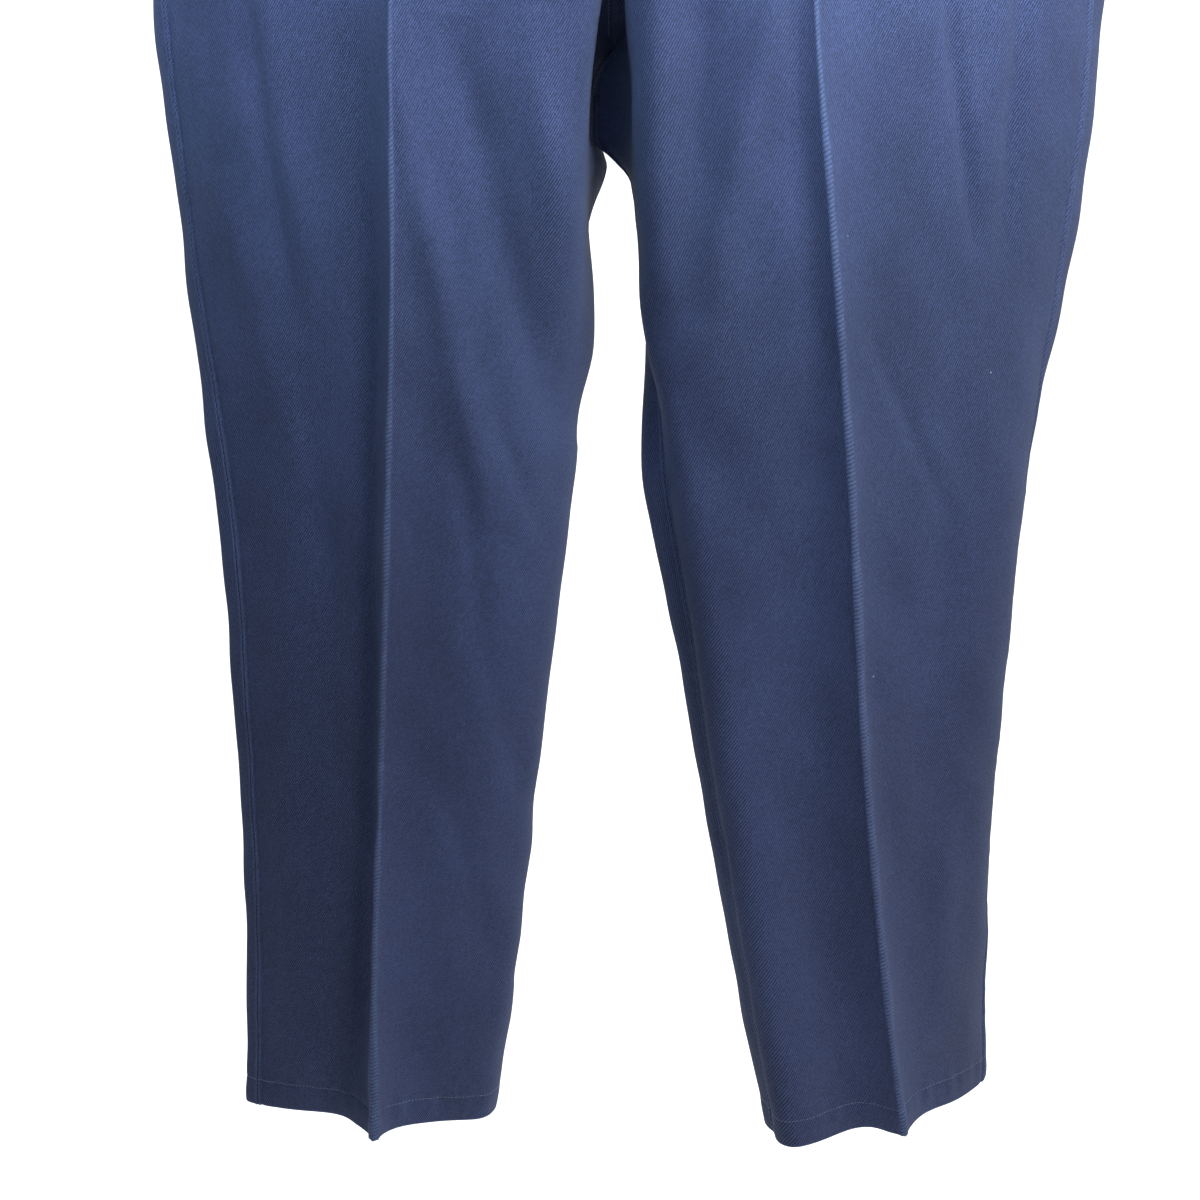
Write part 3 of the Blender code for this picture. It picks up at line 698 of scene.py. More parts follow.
def noise(tree, place, scale, detail, roughness, distortion=0.0):
    """Noise between 0 and 1 at a place. Returns its socket."""
    inputs = {"Vector": place, "Scale": scale, "Detail": detail, "Roughness": roughness}
    return node(tree, "ShaderNodeTexNoise", {**inputs, "Distortion": distortion}).outputs[0]


def bumped(tree, height, strength, distance):
    """The surface's normal roughened by a height. Returns its socket."""
    inputs = {"Height": height, "Strength": strength, "Distance": distance}
    return node(tree, "ShaderNodeBump", inputs).outputs[0]


def object_place(tree):
    return node(tree, "ShaderNodeTexCoord").outputs["Object"]


def attribute(tree, name):
    return node(tree, "ShaderNodeAttribute", attribute_name=name).outputs["Fac"]


def new_group(name, inputs, outputs):
    """A shader node group with named float or vector sockets."""
    tree = bpy.data.node_groups.new(name, "ShaderNodeTree")
    for title, kind, default in inputs:
        socket = tree.interface.new_socket(name=title, in_out="INPUT", socket_type=kind)
        if default is not None:
            socket.default_value = default
    for title in outputs:
        tree.interface.new_socket(name=title, in_out="OUTPUT", socket_type="NodeSocketFloat")
    return tree, node(tree, "NodeGroupInput").outputs, node(tree, "NodeGroupOutput")


def place_group(tree, group, inputs):
    """A shader node group with its inputs. Returns its outputs."""
    made = tree.nodes.new("ShaderNodeGroup")
    made.node_tree = group
    set_inputs(tree, made, inputs)
    return made.outputs


def new_material(name):
    material = bpy.data.materials.new(name)
    material.use_nodes = True
    return material, material.node_tree, material.node_tree.nodes["Principled BSDF"]


TWILL_ANGLE = math.radians(60)
YARNS_PER_RIDGE = 1.15
RIDGE_WANDER = 0.22
FLOAT_HEIGHT = 0.16
FLOAT_SHIFT = 0.37
LINT_RADIUS = 0.014
LINT_COLOUR = (0.32, 0.34, 0.40, 1)
RIDGE_SHARE = 0.92
DYE_SHARE = 1.15
MELANGE_SHARE = 1.7


@lru_cache(maxsize=None)
def twill_group():
    """Diagonal ridges of twill with their floats, from weave coordinates in metres."""
    inputs = (("Weave", "NodeSocketVector", None), ("Spacing", "NodeSocketFloat", 0.0017))
    tree, given, out = new_group("Twill weave", inputs, ("Ridge", "Height"))
    x, y, _ = node(tree, "ShaderNodeSeparateXYZ", {0: given["Weave"]}).outputs
    cosine, sine = math.cos(TWILL_ANGLE), math.sin(TWILL_ANGLE)
    across = maths(tree, "SUBTRACT", maths(tree, "MULTIPLY", x, sine), maths(tree, "MULTIPLY", y, cosine))
    along = maths(tree, "ADD", maths(tree, "MULTIPLY", x, cosine), maths(tree, "MULTIPLY", y, sine))
    wander = maths(tree, "MULTIPLY", noise(tree, given["Weave"], 160.0, 2.0, 0.6), RIDGE_WANDER)
    ridge_turn = maths(tree, "ADD", maths(tree, "DIVIDE", across, given["Spacing"]), wander)
    ridge = maths(tree, "SINE", maths(tree, "MULTIPLY", ridge_turn, math.tau))
    ridge = maths(tree, "MULTIPLY_ADD", ridge, 0.5, 0.5)
    yarns = maths(tree, "MULTIPLY", along, YARNS_PER_RIDGE)
    shift = maths(tree, "MULTIPLY", maths(tree, "FLOOR", ridge_turn), FLOAT_SHIFT)
    float_turn = maths(tree, "ADD", maths(tree, "DIVIDE", yarns, given["Spacing"]), shift)
    floats = maths(tree, "SINE", maths(tree, "MULTIPLY", float_turn, math.tau))
    height = maths(tree, "ADD", ridge, maths(tree, "MULTIPLY", floats, FLOAT_HEIGHT))
    set_inputs(tree, out, {"Ridge": ridge, "Height": height})
    return tree


@lru_cache(maxsize=None)
def cloth_tone_group():
    """Uneven dye, fine melange and sparse lint on cloth, from Object coordinates in metres."""
    inputs = (("Place", "NodeSocketVector", None), ("Lint", "NodeSocketFloat", 1.0))
    tree, given, out = new_group("Cloth tone", inputs, ("Dye", "Melange", "Lint", "Rub"))
    place = given["Place"]
    stretch = node(tree, "ShaderNodeMapping", {0: place, "Scale": (1.0, 1.0, 0.35)}).outputs[0]
    specks = node(tree, "ShaderNodeTexVoronoi", {"Vector": place, "Scale": 21.0, "Randomness": 1.0})
    close = maths(tree, "LESS_THAN", specks.outputs["Distance"], LINT_RADIUS)
    set_inputs(tree, out, {
        "Dye": noise(tree, stretch, 9.0, 4.0, 0.55),
        "Melange": noise(tree, place, 620.0, 2.0, 0.7),
        "Lint": maths(tree, "MULTIPLY", close, given["Lint"]),
        "Rub": noise(tree, place, 95.0, 3.0, 0.7),
    })
    return tree


@lru_cache(maxsize=None)
def twill_material():
    """Navy twill: diagonal ridges, uneven dye, rubbed creases and seams, a few specks of lint."""
    look = finishes()
    material, tree, shader = new_material("navy_twill_cloth")
    uv = node(tree, "ShaderNodeUVMap", uv_map="weave").outputs[0]
    weave = place_group(tree, twill_group(), {"Weave": uv, "Spacing": look.twill_spacing})
    tone = place_group(tree, cloth_tone_group(), {"Place": object_place(tree)})
    wear = attribute(tree, "wear")
    outside = maths(tree, "MULTIPLY_ADD", attribute(tree, "inside"), -0.5, 1.0)
    ridge = maths(tree, "MULTIPLY", weave["Ridge"], outside)
    share = maths(tree, "MULTIPLY_ADD", ridge, RIDGE_SHARE, -0.02)
    dye = maths(tree, "MULTIPLY", maths(tree, "SUBTRACT", tone["Dye"], 0.5), DYE_SHARE)
    speckle = maths(tree, "MULTIPLY", maths(tree, "SUBTRACT", tone["Melange"], 0.5), MELANGE_SHARE)
    share = maths(tree, "ADD", maths(tree, "ADD", share, dye), speckle, clamp=True)
    colour = mixed(tree, share, tuple(look.deep_navy), tuple(look.navy))
    rubbed = maths(tree, "MULTIPLY", wear, maths(tree, "MULTIPLY", tone["Rub"], 1.25), clamp=True)
    colour = mixed(tree, rubbed, colour, tuple(look.worn_navy))
    colour = mixed(tree, maths(tree, "MULTIPLY", tone["Lint"], 0.55), colour, LINT_COLOUR)
    pressed = maths(tree, "MULTIPLY_ADD", wear, -2.6, 1.0, clamp=True)
    height = maths(tree, "MULTIPLY", weave["Height"], pressed)
    set_inputs(tree, shader, {
        "Base Color": colour,
        "Normal": bumped(tree, height, 0.9, 0.0004),
        "Roughness": 0.82,
        "Specular IOR Level": 0.18,
        "Sheen Weight": 0.05,
        "Sheen Roughness": 0.45,
        "Sheen Tint": (0.55, 0.68, 1.0, 1),
    })
    return material


@lru_cache(maxsize=None)
def thread_material():
    """Polyester sewing thread, a little paler than the cloth, with a fine melange."""
    material, tree, shader = new_material("navy_thread")
    tone = place_group(tree, cloth_tone_group(), {"Place": object_place(tree), "Lint": 0.0})
    pale = tuple(finishes().thread)
    dark = tuple(c * 0.45 for c in pale[:3]) + (1.0,)
    set_inputs(tree, shader, {
        "Base Color": mixed(tree, tone["Melange"], dark, pale),
        "Normal": bumped(tree, tone["Melange"], 0.4, 0.0001),
        "Roughness": 0.55,
        "Sheen Weight": 0.3,
    })
    return material


@lru_cache(maxsize=None)
def button_material():
    """Moulded polyester with faint pearl clouds."""
    material, tree, shader = new_material("navy_button_plastic")
    clouds = noise(tree, object_place(tree), 260.0, 4.0, 0.6, 1.2)
    dark = tuple(finishes().button)
    pearl = tuple(min(1.0, c * 2.6) for c in dark[:3]) + (1.0,)
    set_inputs(tree, shader, {
        "Base Color": mixed(tree, clouds, dark, pearl),
        "Roughness": maths(tree, "MULTIPLY_ADD", clouds, 0.18, 0.24),
        "Normal": bumped(tree, clouds, 0.08, 0.0001),
        "Coat Weight": 0.25,
        "Coat Roughness": 0.15,
    })
    return material


# ---------------------------------------------------------------- waistband, fly and button
BAND_UPPER_ROWS = (20, 19.8, 19.3, 18.5, 17.8, 17.2, 16.4, 14, 9, 3)
BAND_ROWS = np.array(BAND_UPPER_ROWS + tuple(-row for row in BAND_UPPER_ROWS[::-1])) * MM
BAND_STITCH = 0.0175
BAND_ROLL = 0.0007
BAND_GROOVE = 0.0004
BAND_PUFF = 0.0003
BAND_PUCKERS = ((17, 0.0), (71, 0.0))
BAND_WEAR = 0.55
BAND_STEPS = 10
FLY_ROW_SPLIT = 2
FLY_STITCH_IN = 0.0055
FLY_ROLL = 0.0006
FLY_GROOVE = 0.00045
FLY_WEAR = 0.6
BUTTONHOLE_LENGTH = 0.022
RISE_STITCH = 0.0050

BandPath = namedtuple("BandPath", "points normals lift run")


def band_half(leg):
    """The half section at the waist, from the seat seam round to the front centre."""
    front_plan, back_plan, _ = leg_sections(leg, np.array([0.0]))
    path = np.concatenate([back_plan[0], front_plan[0][1:]])
    points = np.stack([leg.side * path[:, 0], path[:, 1]], axis=-1)
    along = unit(np.gradient(points, axis=0))
    along[0] = (leg.side, 0.0)
    along[-1] = (-leg.side, 0.0)
    normals = unit(np.stack([along[:, 1], -along[:, 0]], axis=-1) * -leg.side)
    return points, normals


def at_stations(stations, run, *columns):
    """Rows of plan points or normals interpolated at distances along a path."""
    return [
        np.column_stack([np.interp(stations, run, values) for values in column.T]) for column in columns
    ]


@lru_cache(maxsize=None)
def band_path(label):
    """Plan path of a waistband half. The left one runs on over the right one as the lap."""
    points, normals = band_half(LEGS[label])
    points[0, 0] = LEGS[label].side * SEAM_GAP / 2
    if label == "right":
        points[-1, 0] = -SEAM_GAP / 2
        return BandPath(points, normals, np.full(len(points), BAND_PROUD), run_lengths(points))
    under_points, under_normals = (side[::-1] for side in band_half(RIGHT_LEG))
    lap = np.linspace(0.0, LAP_LENGTH, BAND_STEPS + 1)[1:]
    lap_points, lap_normals = at_stations(lap, run_lengths(under_points), under_points, under_normals)
    from_centre = run_lengths(points[::-1])
    ramp = np.linspace(0.0, LAP_RAMP, BAND_STEPS)[:0:-1]
    ramp_points, ramp_normals = at_stations(ramp, from_centre, points[::-1], normals[::-1])
    kept = from_centre[::-1] > LAP_RAMP * 1.05
    path = np.concatenate([points[kept], ramp_points, points[-1:], lap_points])
    facing = unit(np.concatenate([normals[kept], ramp_normals, normals[-1:], lap_normals]))
    distance = np.concatenate([from_centre[::-1][kept], ramp, [0.0], -lap])
    rise = np.clip((LAP_RAMP - distance) / (LAP_RAMP - SEAM_GAP * 4), 0.0, 1.0)
    return BandPath(path, facing, BAND_PROUD + (BAND_WALL + SEAM_GAP) * rise, run_lengths(path))


@lru_cache(maxsize=None)
def band_cloth(label):
    """Outer and inner skin of a waistband half: rolled edges, two stitched grooves, a soft crown."""
    path = band_path(label)
    heights = BAND_ROWS[:, None]
    edge = BAND_HEIGHT / 2 - np.abs(heights)
    ends = np.minimum(path.run, path.run[-1] - path.run)[None, :]
    roll = BAND_ROLL * (bump(edge, 0.6 * MM) + bump(ends, 0.6 * MM))
    first, second = waves(path.run[None, :], BAND_PUCKERS)
    puckers = first * second
    groove = BAND_GROOVE * bump(np.abs(heights) - BAND_STITCH, 0.8 * MM) * (1 + 0.5 * puckers)
    lift = path.lift[None, :] - roll - groove + BAND_PUFF * bump(heights, 12 * MM) * (1 + 0.6 * puckers)
    under = path.lift[None, :] - BAND_WALL + roll
    skins = []
    for offset in (lift, under):
        x, y = np.moveaxis(path.points[None] + path.normals[None] * offset[..., None], -1, 0)
        skins.append(np.stack([x, y, np.broadcast_to(heights, x.shape)], axis=-1))
    uv = np.stack(np.broadcast_arrays(-LEGS[label].side * path.run[None, :], heights), axis=-1)
    wear = BAND_WEAR * np.broadcast_to(bump(edge, 0.8 * MM), lift.shape)
    facing = np.concatenate([path.normals, np.zeros((len(path.normals), 1))], axis=1)
    return skins[0], skins[1], uv, wear, np.broadcast_to(facing[None], skins[0].shape)


def fly_width(z):
    """The fly is straight down to its rounded foot, as a letter J."""
    into_foot = np.clip((FLY_BOTTOM + FLY_ROUND - z) / FLY_ROUND, 0.0, 1.0)
    return np.maximum(FLY_WIDTH * np.sqrt(1.0 - into_foot ** 2), FLY_TIP)


@lru_cache(maxsize=None)
def fly_cloth():
    """The doubled fly front, laid on the left front panel's own points."""
    cloth = leg_cloth("left")["front"]
    last = int(np.argmin(np.abs(row_heights() - FLY_BOTTOM)))
    margin = EDGE_OFFSETS / FLY_WIDTH
    share = np.concatenate([margin, np.linspace(margin[-1], 1 - margin[-1], 12)[1:-1], 1 - margin[::-1]])
    rows = []
    for step in range(last * FLY_ROW_SPLIT + 1):
        row, part = divmod(step, FLY_ROW_SPLIT)
        weight = part / FLY_ROW_SPLIT
        blend = [
            (1 - weight) * skin[row, ::-1] + weight * skin[row + 1, ::-1]
            for skin in (cloth.outer, cloth.normals, cloth.uv)
        ]
        stations = SEAM_GAP + share * (fly_width(blend[0][0, 2]) - SEAM_GAP)
        placed = at_stations(stations, run_lengths(blend[0]), *blend)
        rows.append((placed[0], unit(placed[1]), placed[2]))
    base, facing, uv = (np.array(kind) for kind in zip(*rows))
    across = run_lengths(base)
    down = run_lengths(np.swapaxes(base, 0, 1)).T
    edge = np.minimum(across[:, -1:] - across, down[-1:] - down)
    roll = FLY_ROLL * bump(edge, 0.5 * MM)
    groove = FLY_GROOVE * bump(edge - FLY_STITCH_IN, 0.8 * MM)
    outer = base + facing * (SEAM_GAP + FLY_WALL - roll - groove)[..., None]
    inner = base + facing * SEAM_GAP
    return outer, inner, uv, FLY_WEAR * bump(edge, 0.8 * MM), facing


def button_seat():
    """Where the button lies on the lap, and the way it faces."""
    points, normals = (side[::-1] for side in band_half(RIGHT_LEG))
    at, facing = at_stations(np.array([BUTTON_FROM_CENTRE]), run_lengths(points), points, normals)
    facing = unit(facing)[0]
    seat = at[0] + facing * (BAND_PROUD + BAND_WALL + 2 * SEAM_GAP)
    return Vector((seat[0], seat[1], 0.0)), Vector((facing[0], facing[1], 0.0))


BUTTON_PROFILE = (
    (0.0, 0.62), (0.45, 0.60), (0.60, 0.66), (0.72, 0.86), (0.80, 0.98), (0.87, 1.00), (0.94, 0.93),
    (0.985, 0.76), (1.0, 0.55), (0.985, 0.34), (0.93, 0.16), (0.84, 0.04), (0.72, 0.0), (0.0, 0.0),
)
BUTTON_TURNS = 72
BUTTON_SHARP = math.radians(38)
HOLE_RADIUS = 0.0009
HOLE_OFFSET = 0.0016
HOLE_TURNS = 20
HOLE_SIDES = (-HOLE_OFFSET, HOLE_OFFSET)
BUTTON_THREADS = (-0.00025, 0.0, 0.00025)


def turned_disc(name, profile, turns):
    """A closed solid of revolution about Z from (radius, height) points."""
    shape = bmesh.new()
    rings = []
    for radius, height in profile:
        if radius == 0.0:
            rings.append([shape.verts.new((0.0, 0.0, height))])
            continue
        angles = (math.tau * i / turns for i in range(turns))
        places = [(radius * math.cos(angle), radius * math.sin(angle), height) for angle in angles]
        rings.append([shape.verts.new(place) for place in places])
    for upper, lower in zip(rings, rings[1:]):
        for i in range(turns):
            j = (i + 1) % turns
            corners = [ring[k % len(ring)] for ring, k in ((upper, i), (lower, i), (lower, j), (upper, j))]
            shape.faces.new(list(dict.fromkeys(corners)))
    bmesh.ops.recalc_face_normals(shape, faces=shape.faces[:])
    mesh = bpy.data.meshes.new(name)
    shape.to_mesh(mesh)
    shape.free()
    return mesh


def finished_mesh(piece, name):
    """The evaluated mesh of an object with its modifiers, at the object's place. Removes the object."""
    graph = bpy.context.evaluated_depsgraph_get()
    mesh = bpy.data.meshes.new_from_object(piece.evaluated_get(graph))
    mesh.transform(piece.matrix_world)
    mesh.name = name
    bpy.data.objects.remove(piece)
    return mesh


def moulded_button(turn):
    """The button's mesh where it lies: a turned disc with a round hole through its middle.

    Each drill's matrix_local is read before the scene is updated and so holds no offset: all four
    drills cut the same hole.
    """
    profile = [(r * BUTTON_RADIUS, h * BUTTON_THICK) for r, h in BUTTON_PROFILE]
    disc = placed_object("button_blank", turned_disc("button_blank", profile, BUTTON_TURNS))
    top, foot = 2 * BUTTON_THICK, -BUTTON_THICK
    drill_profile = [(0.0, top), (HOLE_RADIUS, top), (HOLE_RADIUS, foot), (0.0, foot)]
    bit = turned_disc("button_drill", drill_profile, HOLE_TURNS)
    drills = []
    for x, y in product(HOLE_SIDES, HOLE_SIDES):
        drill = placed_object("button_drill", bit)
        drill.location = (x, y, 0.0)
        drills.append(drill)
        cut = disc.modifiers.new("hole", "BOOLEAN")
        cut.operation = "DIFFERENCE"
        cut.solver = "EXACT"
        cut.object = drill
    disc.matrix_world = turn
    for drill in drills:
        drill.matrix_world = turn @ drill.matrix_local
    bpy.context.view_layer.update()
    mesh = finished_mesh(disc, "waist_button_moulded")
    for drill in drills:
        bpy.data.objects.remove(drill)
    mesh.shade_smooth()
    mesh.set_sharp_from_angle(angle=BUTTON_SHARP)
    return mesh


def button_bars(turn):
    """The middles of the threads between the button's holes, each a short path."""
    bars = []
    for x, shift in product(HOLE_SIDES, BUTTON_THREADS):
        ends = [turn @ Vector((x + shift, y * 1.1, BUTTON_THICK * 0.66)) for y in HOLE_SIDES]
        points = np.array([tuple(end) for end in ends])
        middle = points.mean(axis=0)
        bars.append((middle + (points - middle) * 0.02, False))
    return bars


BUTTONHOLE_IN = 0.003
BUTTONHOLE_HALF = 0.0014
BUTTONHOLE_BARS = 34
BUTTONHOLE_END_BARS = 7
BAR_STEP = 0.00002
BAR_RISE = 0.0001


def buttonhole_bars():
    """Short paths for the bars of thread square to the slit's edge, in the lap."""
    path = band_path("left")
    start = LAP_LENGTH - BUTTON_FROM_CENTRE - BUTTONHOLE_IN
    outline = [
        (start + share * BUTTONHOLE_LENGTH, BUTTONHOLE_HALF * way, 0.0, way)
        for share, way in product(np.linspace(0.0, 1.0, BUTTONHOLE_BARS), (1.0, -1.0))
    ]
    for angle in np.radians(np.linspace(-80, 80, BUTTONHOLE_END_BARS)):
        side, rise = math.cos(angle), math.sin(angle)
        far = start + BUTTONHOLE_LENGTH + BUTTONHOLE_HALF * side
        near = start - BUTTONHOLE_HALF * side
        outline.append((far, BUTTONHOLE_HALF * rise, side, rise))
        outline.append((near, BUTTONHOLE_HALF * rise, -side, rise))
    bars = []
    for from_end, height, way_along, way_up in outline:
        ends = []
        for step in (0.0, BAR_STEP):
            station = np.array([path.run[-1] - from_end - way_along * step])
            at, facing = at_stations(station, path.run, path.points, path.normals)
            lift = np.interp(station, path.run, path.lift)
            plan = at[0] + unit(facing)[0] * (lift[0] + BAND_PUFF + BAR_RISE)
            ends.append((*plan, height + way_up * step))
        bars.append((np.array(ends), False))
    return bars


# ---------------------------------------------------------------- sewing
STITCH_INPUTS = {
    "Paths": "Geometry", "Pitch": "Float", "Length": "Float", "Width": "Float", "Seed": "Int",
    "Thread": "Material",
}
STITCH_SIZES = {"Min": (0.86, 0.88, 0.88), "Max": (1.08, 1.1, 1.1)}
STITCH_TILT = 0.07
THREAD_RISE = 0.25


@lru_cache(maxsize=None)
def stitch_tree():
    """Stitches laid along paths: one rounded bar of thread for each, with a fixed seed."""
    tree = bpy.data.node_groups.new("Stitch run", "GeometryNodeTree")
    for title, kind in STITCH_INPUTS.items():
        tree.interface.new_socket(name=title, in_out="INPUT", socket_type="NodeSocket" + kind)
    tree.interface.new_socket(name="Stitches", in_out="OUTPUT", socket_type="NodeSocketGeometry")

    def made(kind, inputs, output=0, **settings):
        return node(tree, kind, inputs, **settings).outputs[output]

    given = node(tree, "NodeGroupInput").outputs
    seed = given["Seed"]
    way = node(tree, "GeometryNodeCaptureAttribute")
    way.capture_items.new("VECTOR", "Way")
    curve = made("GeometryNodeMeshToCurve", {0: given["Paths"]})
    set_inputs(tree, way, {0: curve, 1: made("GeometryNodeInputTangent", {})})
    along = {0: way.outputs[0], "Length": given["Pitch"]}
    places = made("GeometryNodeResampleCurve", along, mode="LENGTH")
    ball = made("GeometryNodeMeshUVSphere", {"Segments": 8, "Rings": 6, "Radius": 0.5})
    size = made("ShaderNodeCombineXYZ", {0: given["Length"], 1: given["Width"], 2: given["Width"]})
    bar = made("GeometryNodeTransform", {0: ball, "Scale": size})
    aim = made("FunctionNodeAlignRotationToVector", {"Vector": way.outputs[1]}, axis="X")
    uneven = made("FunctionNodeRandomValue", {**STITCH_SIZES, "Seed": seed}, data_type="FLOAT_VECTOR")
    tilts = {2: -STITCH_TILT, 3: STITCH_TILT, "Seed": seed}
    tilt = made("FunctionNodeRandomValue", tilts, output=1, data_type="FLOAT")
    turn = made("FunctionNodeEulerToRotation", {0: made("ShaderNodeCombineXYZ", {1: tilt})})
    spin = made("FunctionNodeRotateRotation", {0: aim, 1: turn}, rotation_space="LOCAL")
    laid = {"Points": places, "Instance": bar, "Rotation": spin, "Scale": uneven}
    real = made("GeometryNodeRealizeInstances", {0: made("GeometryNodeInstanceOnPoints", laid)})
    smooth = made("GeometryNodeSetShadeSmooth", {0: real})
    finished = made("GeometryNodeSetMaterial", {0: smooth, "Material": given["Thread"]})
    set_inputs(tree, node(tree, "NodeGroupOutput"), {0: finished})
    return tree


def sew(name, paths, pitch=None, length=None, width=None):
    """A plain mesh of stitches along polylines, each (points, closed)."""
    sizes = cloth_sizes()
    vertices, edges = [], []
    for points, closed in paths:
        first = len(vertices)
        vertices.extend(points.tolist())
        last = len(vertices) - 1
        edges.extend((i, i + 1) for i in range(first, last))
        if closed:
            edges.append((last, first))
    guide = bpy.data.meshes.new(name + "_path")
    guide.from_pydata(vertices, edges, [])
    carrier = placed_object(name + "_path", guide)
    run = carrier.modifiers.new("stitches", "NODES")
    run.node_group = stitch_tree()
    inputs = {
        "Pitch": pitch or sizes.stitch_pitch,
        "Length": length or sizes.stitch_length,
        "Width": width or sizes.thread_width,
        "Seed": sizes.seed,
        "Thread": thread_material(),
    }
    for item in run.node_group.interface.items_tree:
        if item.name in inputs:
            run[item.identifier] = inputs[item.name]
    return make_object(name, finished_mesh(carrier, name), thread_material())


def thread_rise():
    """How far the middle of a stitch's thread stands off the cloth."""
    return cloth_sizes().thread_width * THREAD_RISE


def line_at(outer, normals, distance, value):
    """The points of a cloth's rows that lie at a distance from one of its edges, a little proud."""
    points = []
    for skin, facing, away in zip(outer, normals, distance):
        order = np.argsort(away)
        at, out = at_stations(np.array([value]), away[order], skin[order], facing[order])
        points.append(at[0] + thread_rise() * out[0])
    return np.array(points)


def hem_line(label):
    """The closed line of a hem's stitching, on both panels of a leg."""
    depth = cloth_sizes().hem_depth
    parts = []
    for cloth in leg_cloth(label).values():
        row = int(np.argmin(np.abs(cloth.above_hem[:, 0] - depth)))
        parts.append(cloth.outer[row, 1:-1] + cloth.normals[row, 1:-1] * thread_rise())
    return np.concatenate(parts)


# ---------------------------------------------------------------- operators
def declare_cloth(piece, node_name, width):
    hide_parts(node_name)
    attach(piece, "root")


class WORKPANTS_OT_leg_panels(Operator):
    """Make the two front and the two back leg panels"""

    bl_idname = "work_pants.leg_panels"
    bl_label = "Leg Panels"

    def execute(self, context):
        for label in LEGS:
            for panel, cloth in leg_cloth(label).items():
                name = f"{panel}_{label}"
                piece = cloth_piece(name, cloth.outer, cloth.inner, cloth.uv, cloth.wear)
                across, down = cloth.outer, np.swapaxes(cloth.outer, 0, 1)
                width, length = (float(run_lengths(way)[:, -1].max()) for way in (across, down))
                declare_cloth(piece, name, width)
        return {"FINISHED"}


class WORKPANTS_OT_waistband(Operator):
    """Make the two waistband halves, the left one lapped over the right"""

    bl_idname = "work_pants.waistband"
    bl_label = "Waistband"

    def execute(self, context):
        for label in LEGS:
            outer, inner, uv, wear, _ = band_cloth(label)
            name = f"waistband_{label}"
            piece = cloth_piece(name, outer, inner, uv, wear)
            declare_cloth(piece, name, float(band_path(label).run[-1]))
        return {"FINISHED"}


class WORKPANTS_OT_fly_flap(Operator):
    """Make the J-shaped fly front on the left panel"""

    bl_idname = "work_pants.fly_flap"
    bl_label = "Fly Flap"

    def execute(self, context):
        outer, inner, uv, wear, _ = fly_cloth()
        piece = cloth_piece("fly_flap", outer, inner, uv, wear)
        declare_cloth(piece, "fly_flap", FLY_WIDTH)
        return {"FINISHED"}


class WORKPANTS_OT_waist_button(Operator):
    """Make the button and the thread on it"""

    bl_idname = "work_pants.waist_button"
    bl_label = "Waist Button"

    def execute(self, context):
        seat, facing = button_seat()
        turn = facing.to_track_quat("Z", "Y").to_matrix().to_4x4()
        turn.translation = seat
        button = make_object("waist_button_moulded", moulded_button(turn), button_material())
        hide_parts("waist_button")
        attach(button, "root")

        span = 2.2 * HOLE_OFFSET
        width = cloth_sizes().thread_width * 0.7
        thread = sew("button_thread", button_bars(turn), pitch=span, length=span * 1.25, width=width)
        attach(thread, "root")
        return {"FINISHED"}


class WORKPANTS_OT_sewing(Operator):
    """Sew the hems, waistband, fly, front rise and buttonhole"""

    bl_idname = "work_pants.sewing"
    bl_label = "Sewing"

    def execute(self, context):
        runs = {}
        for label in LEGS:
            runs[f"hem_stitches_{label}"] = [(hem_line(label), True)]
            outer, _, _, _, facing = band_cloth(label)
            rows = [int(np.argmin(np.abs(BAND_ROWS - height))) for height in (BAND_STITCH, -BAND_STITCH)]
            runs[f"waistband_stitches_{label}"] = [
                (outer[row, 3:-3] + facing[row, 3:-3] * thread_rise(), False) for row in rows
            ]
        outer, _, _, _, facing = fly_cloth()
        across = run_lengths(outer)
        wide = across[:, -1] > FLY_STITCH_IN + FLY_TIP / 4
        line = line_at(outer[wide], facing[wide], across[wide, -1:] - across[wide], FLY_STITCH_IN)
        runs["fly_stitches"] = [(line[1:], False)]
        cloth = leg_cloth("right")["front"]
        z = row_heights()
        rows = (z < FLY_BOTTOM - 2 * MM) & (z > CROTCH_Z + 2 * MM)
        line = line_at(cloth.outer[rows], cloth.normals[rows], cloth.from_inseam[rows], RISE_STITCH)
        runs["rise_stitches"] = [(line, False)]
        for name, paths in runs.items():
            thread = sew(name, paths)
            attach(thread, "root")
        hole = sew("buttonhole_stitches", buttonhole_bars(), pitch=0.01, length=0.0019, width=0.0006)
        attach(hole, "root")
        return {"FINISHED"}


# ---------------------------------------------------------------- stage
CAMERA_PLACE = (-0.0105, -1.15, -0.40)
CAMERA_PITCH = math.radians(78)
SENSOR = 36.0
LENS = 47.04
SMALL = (0.25, 0.25)
WHITE = (1.0, 1.0, 1.0)
KEY_COLOUR = (1.0, 0.97, 0.97)
TOP_COLOUR = (0.67, 0.87, 1.0)
PAPER_SHADE = 0.985
BACKDROP_Y = 2.4
BACKDROP_ROUND = 0.9
BACKDROP_STEPS = 16
BACKDROP_HALF = 5.0
FLOOR_FRONT = -4.0

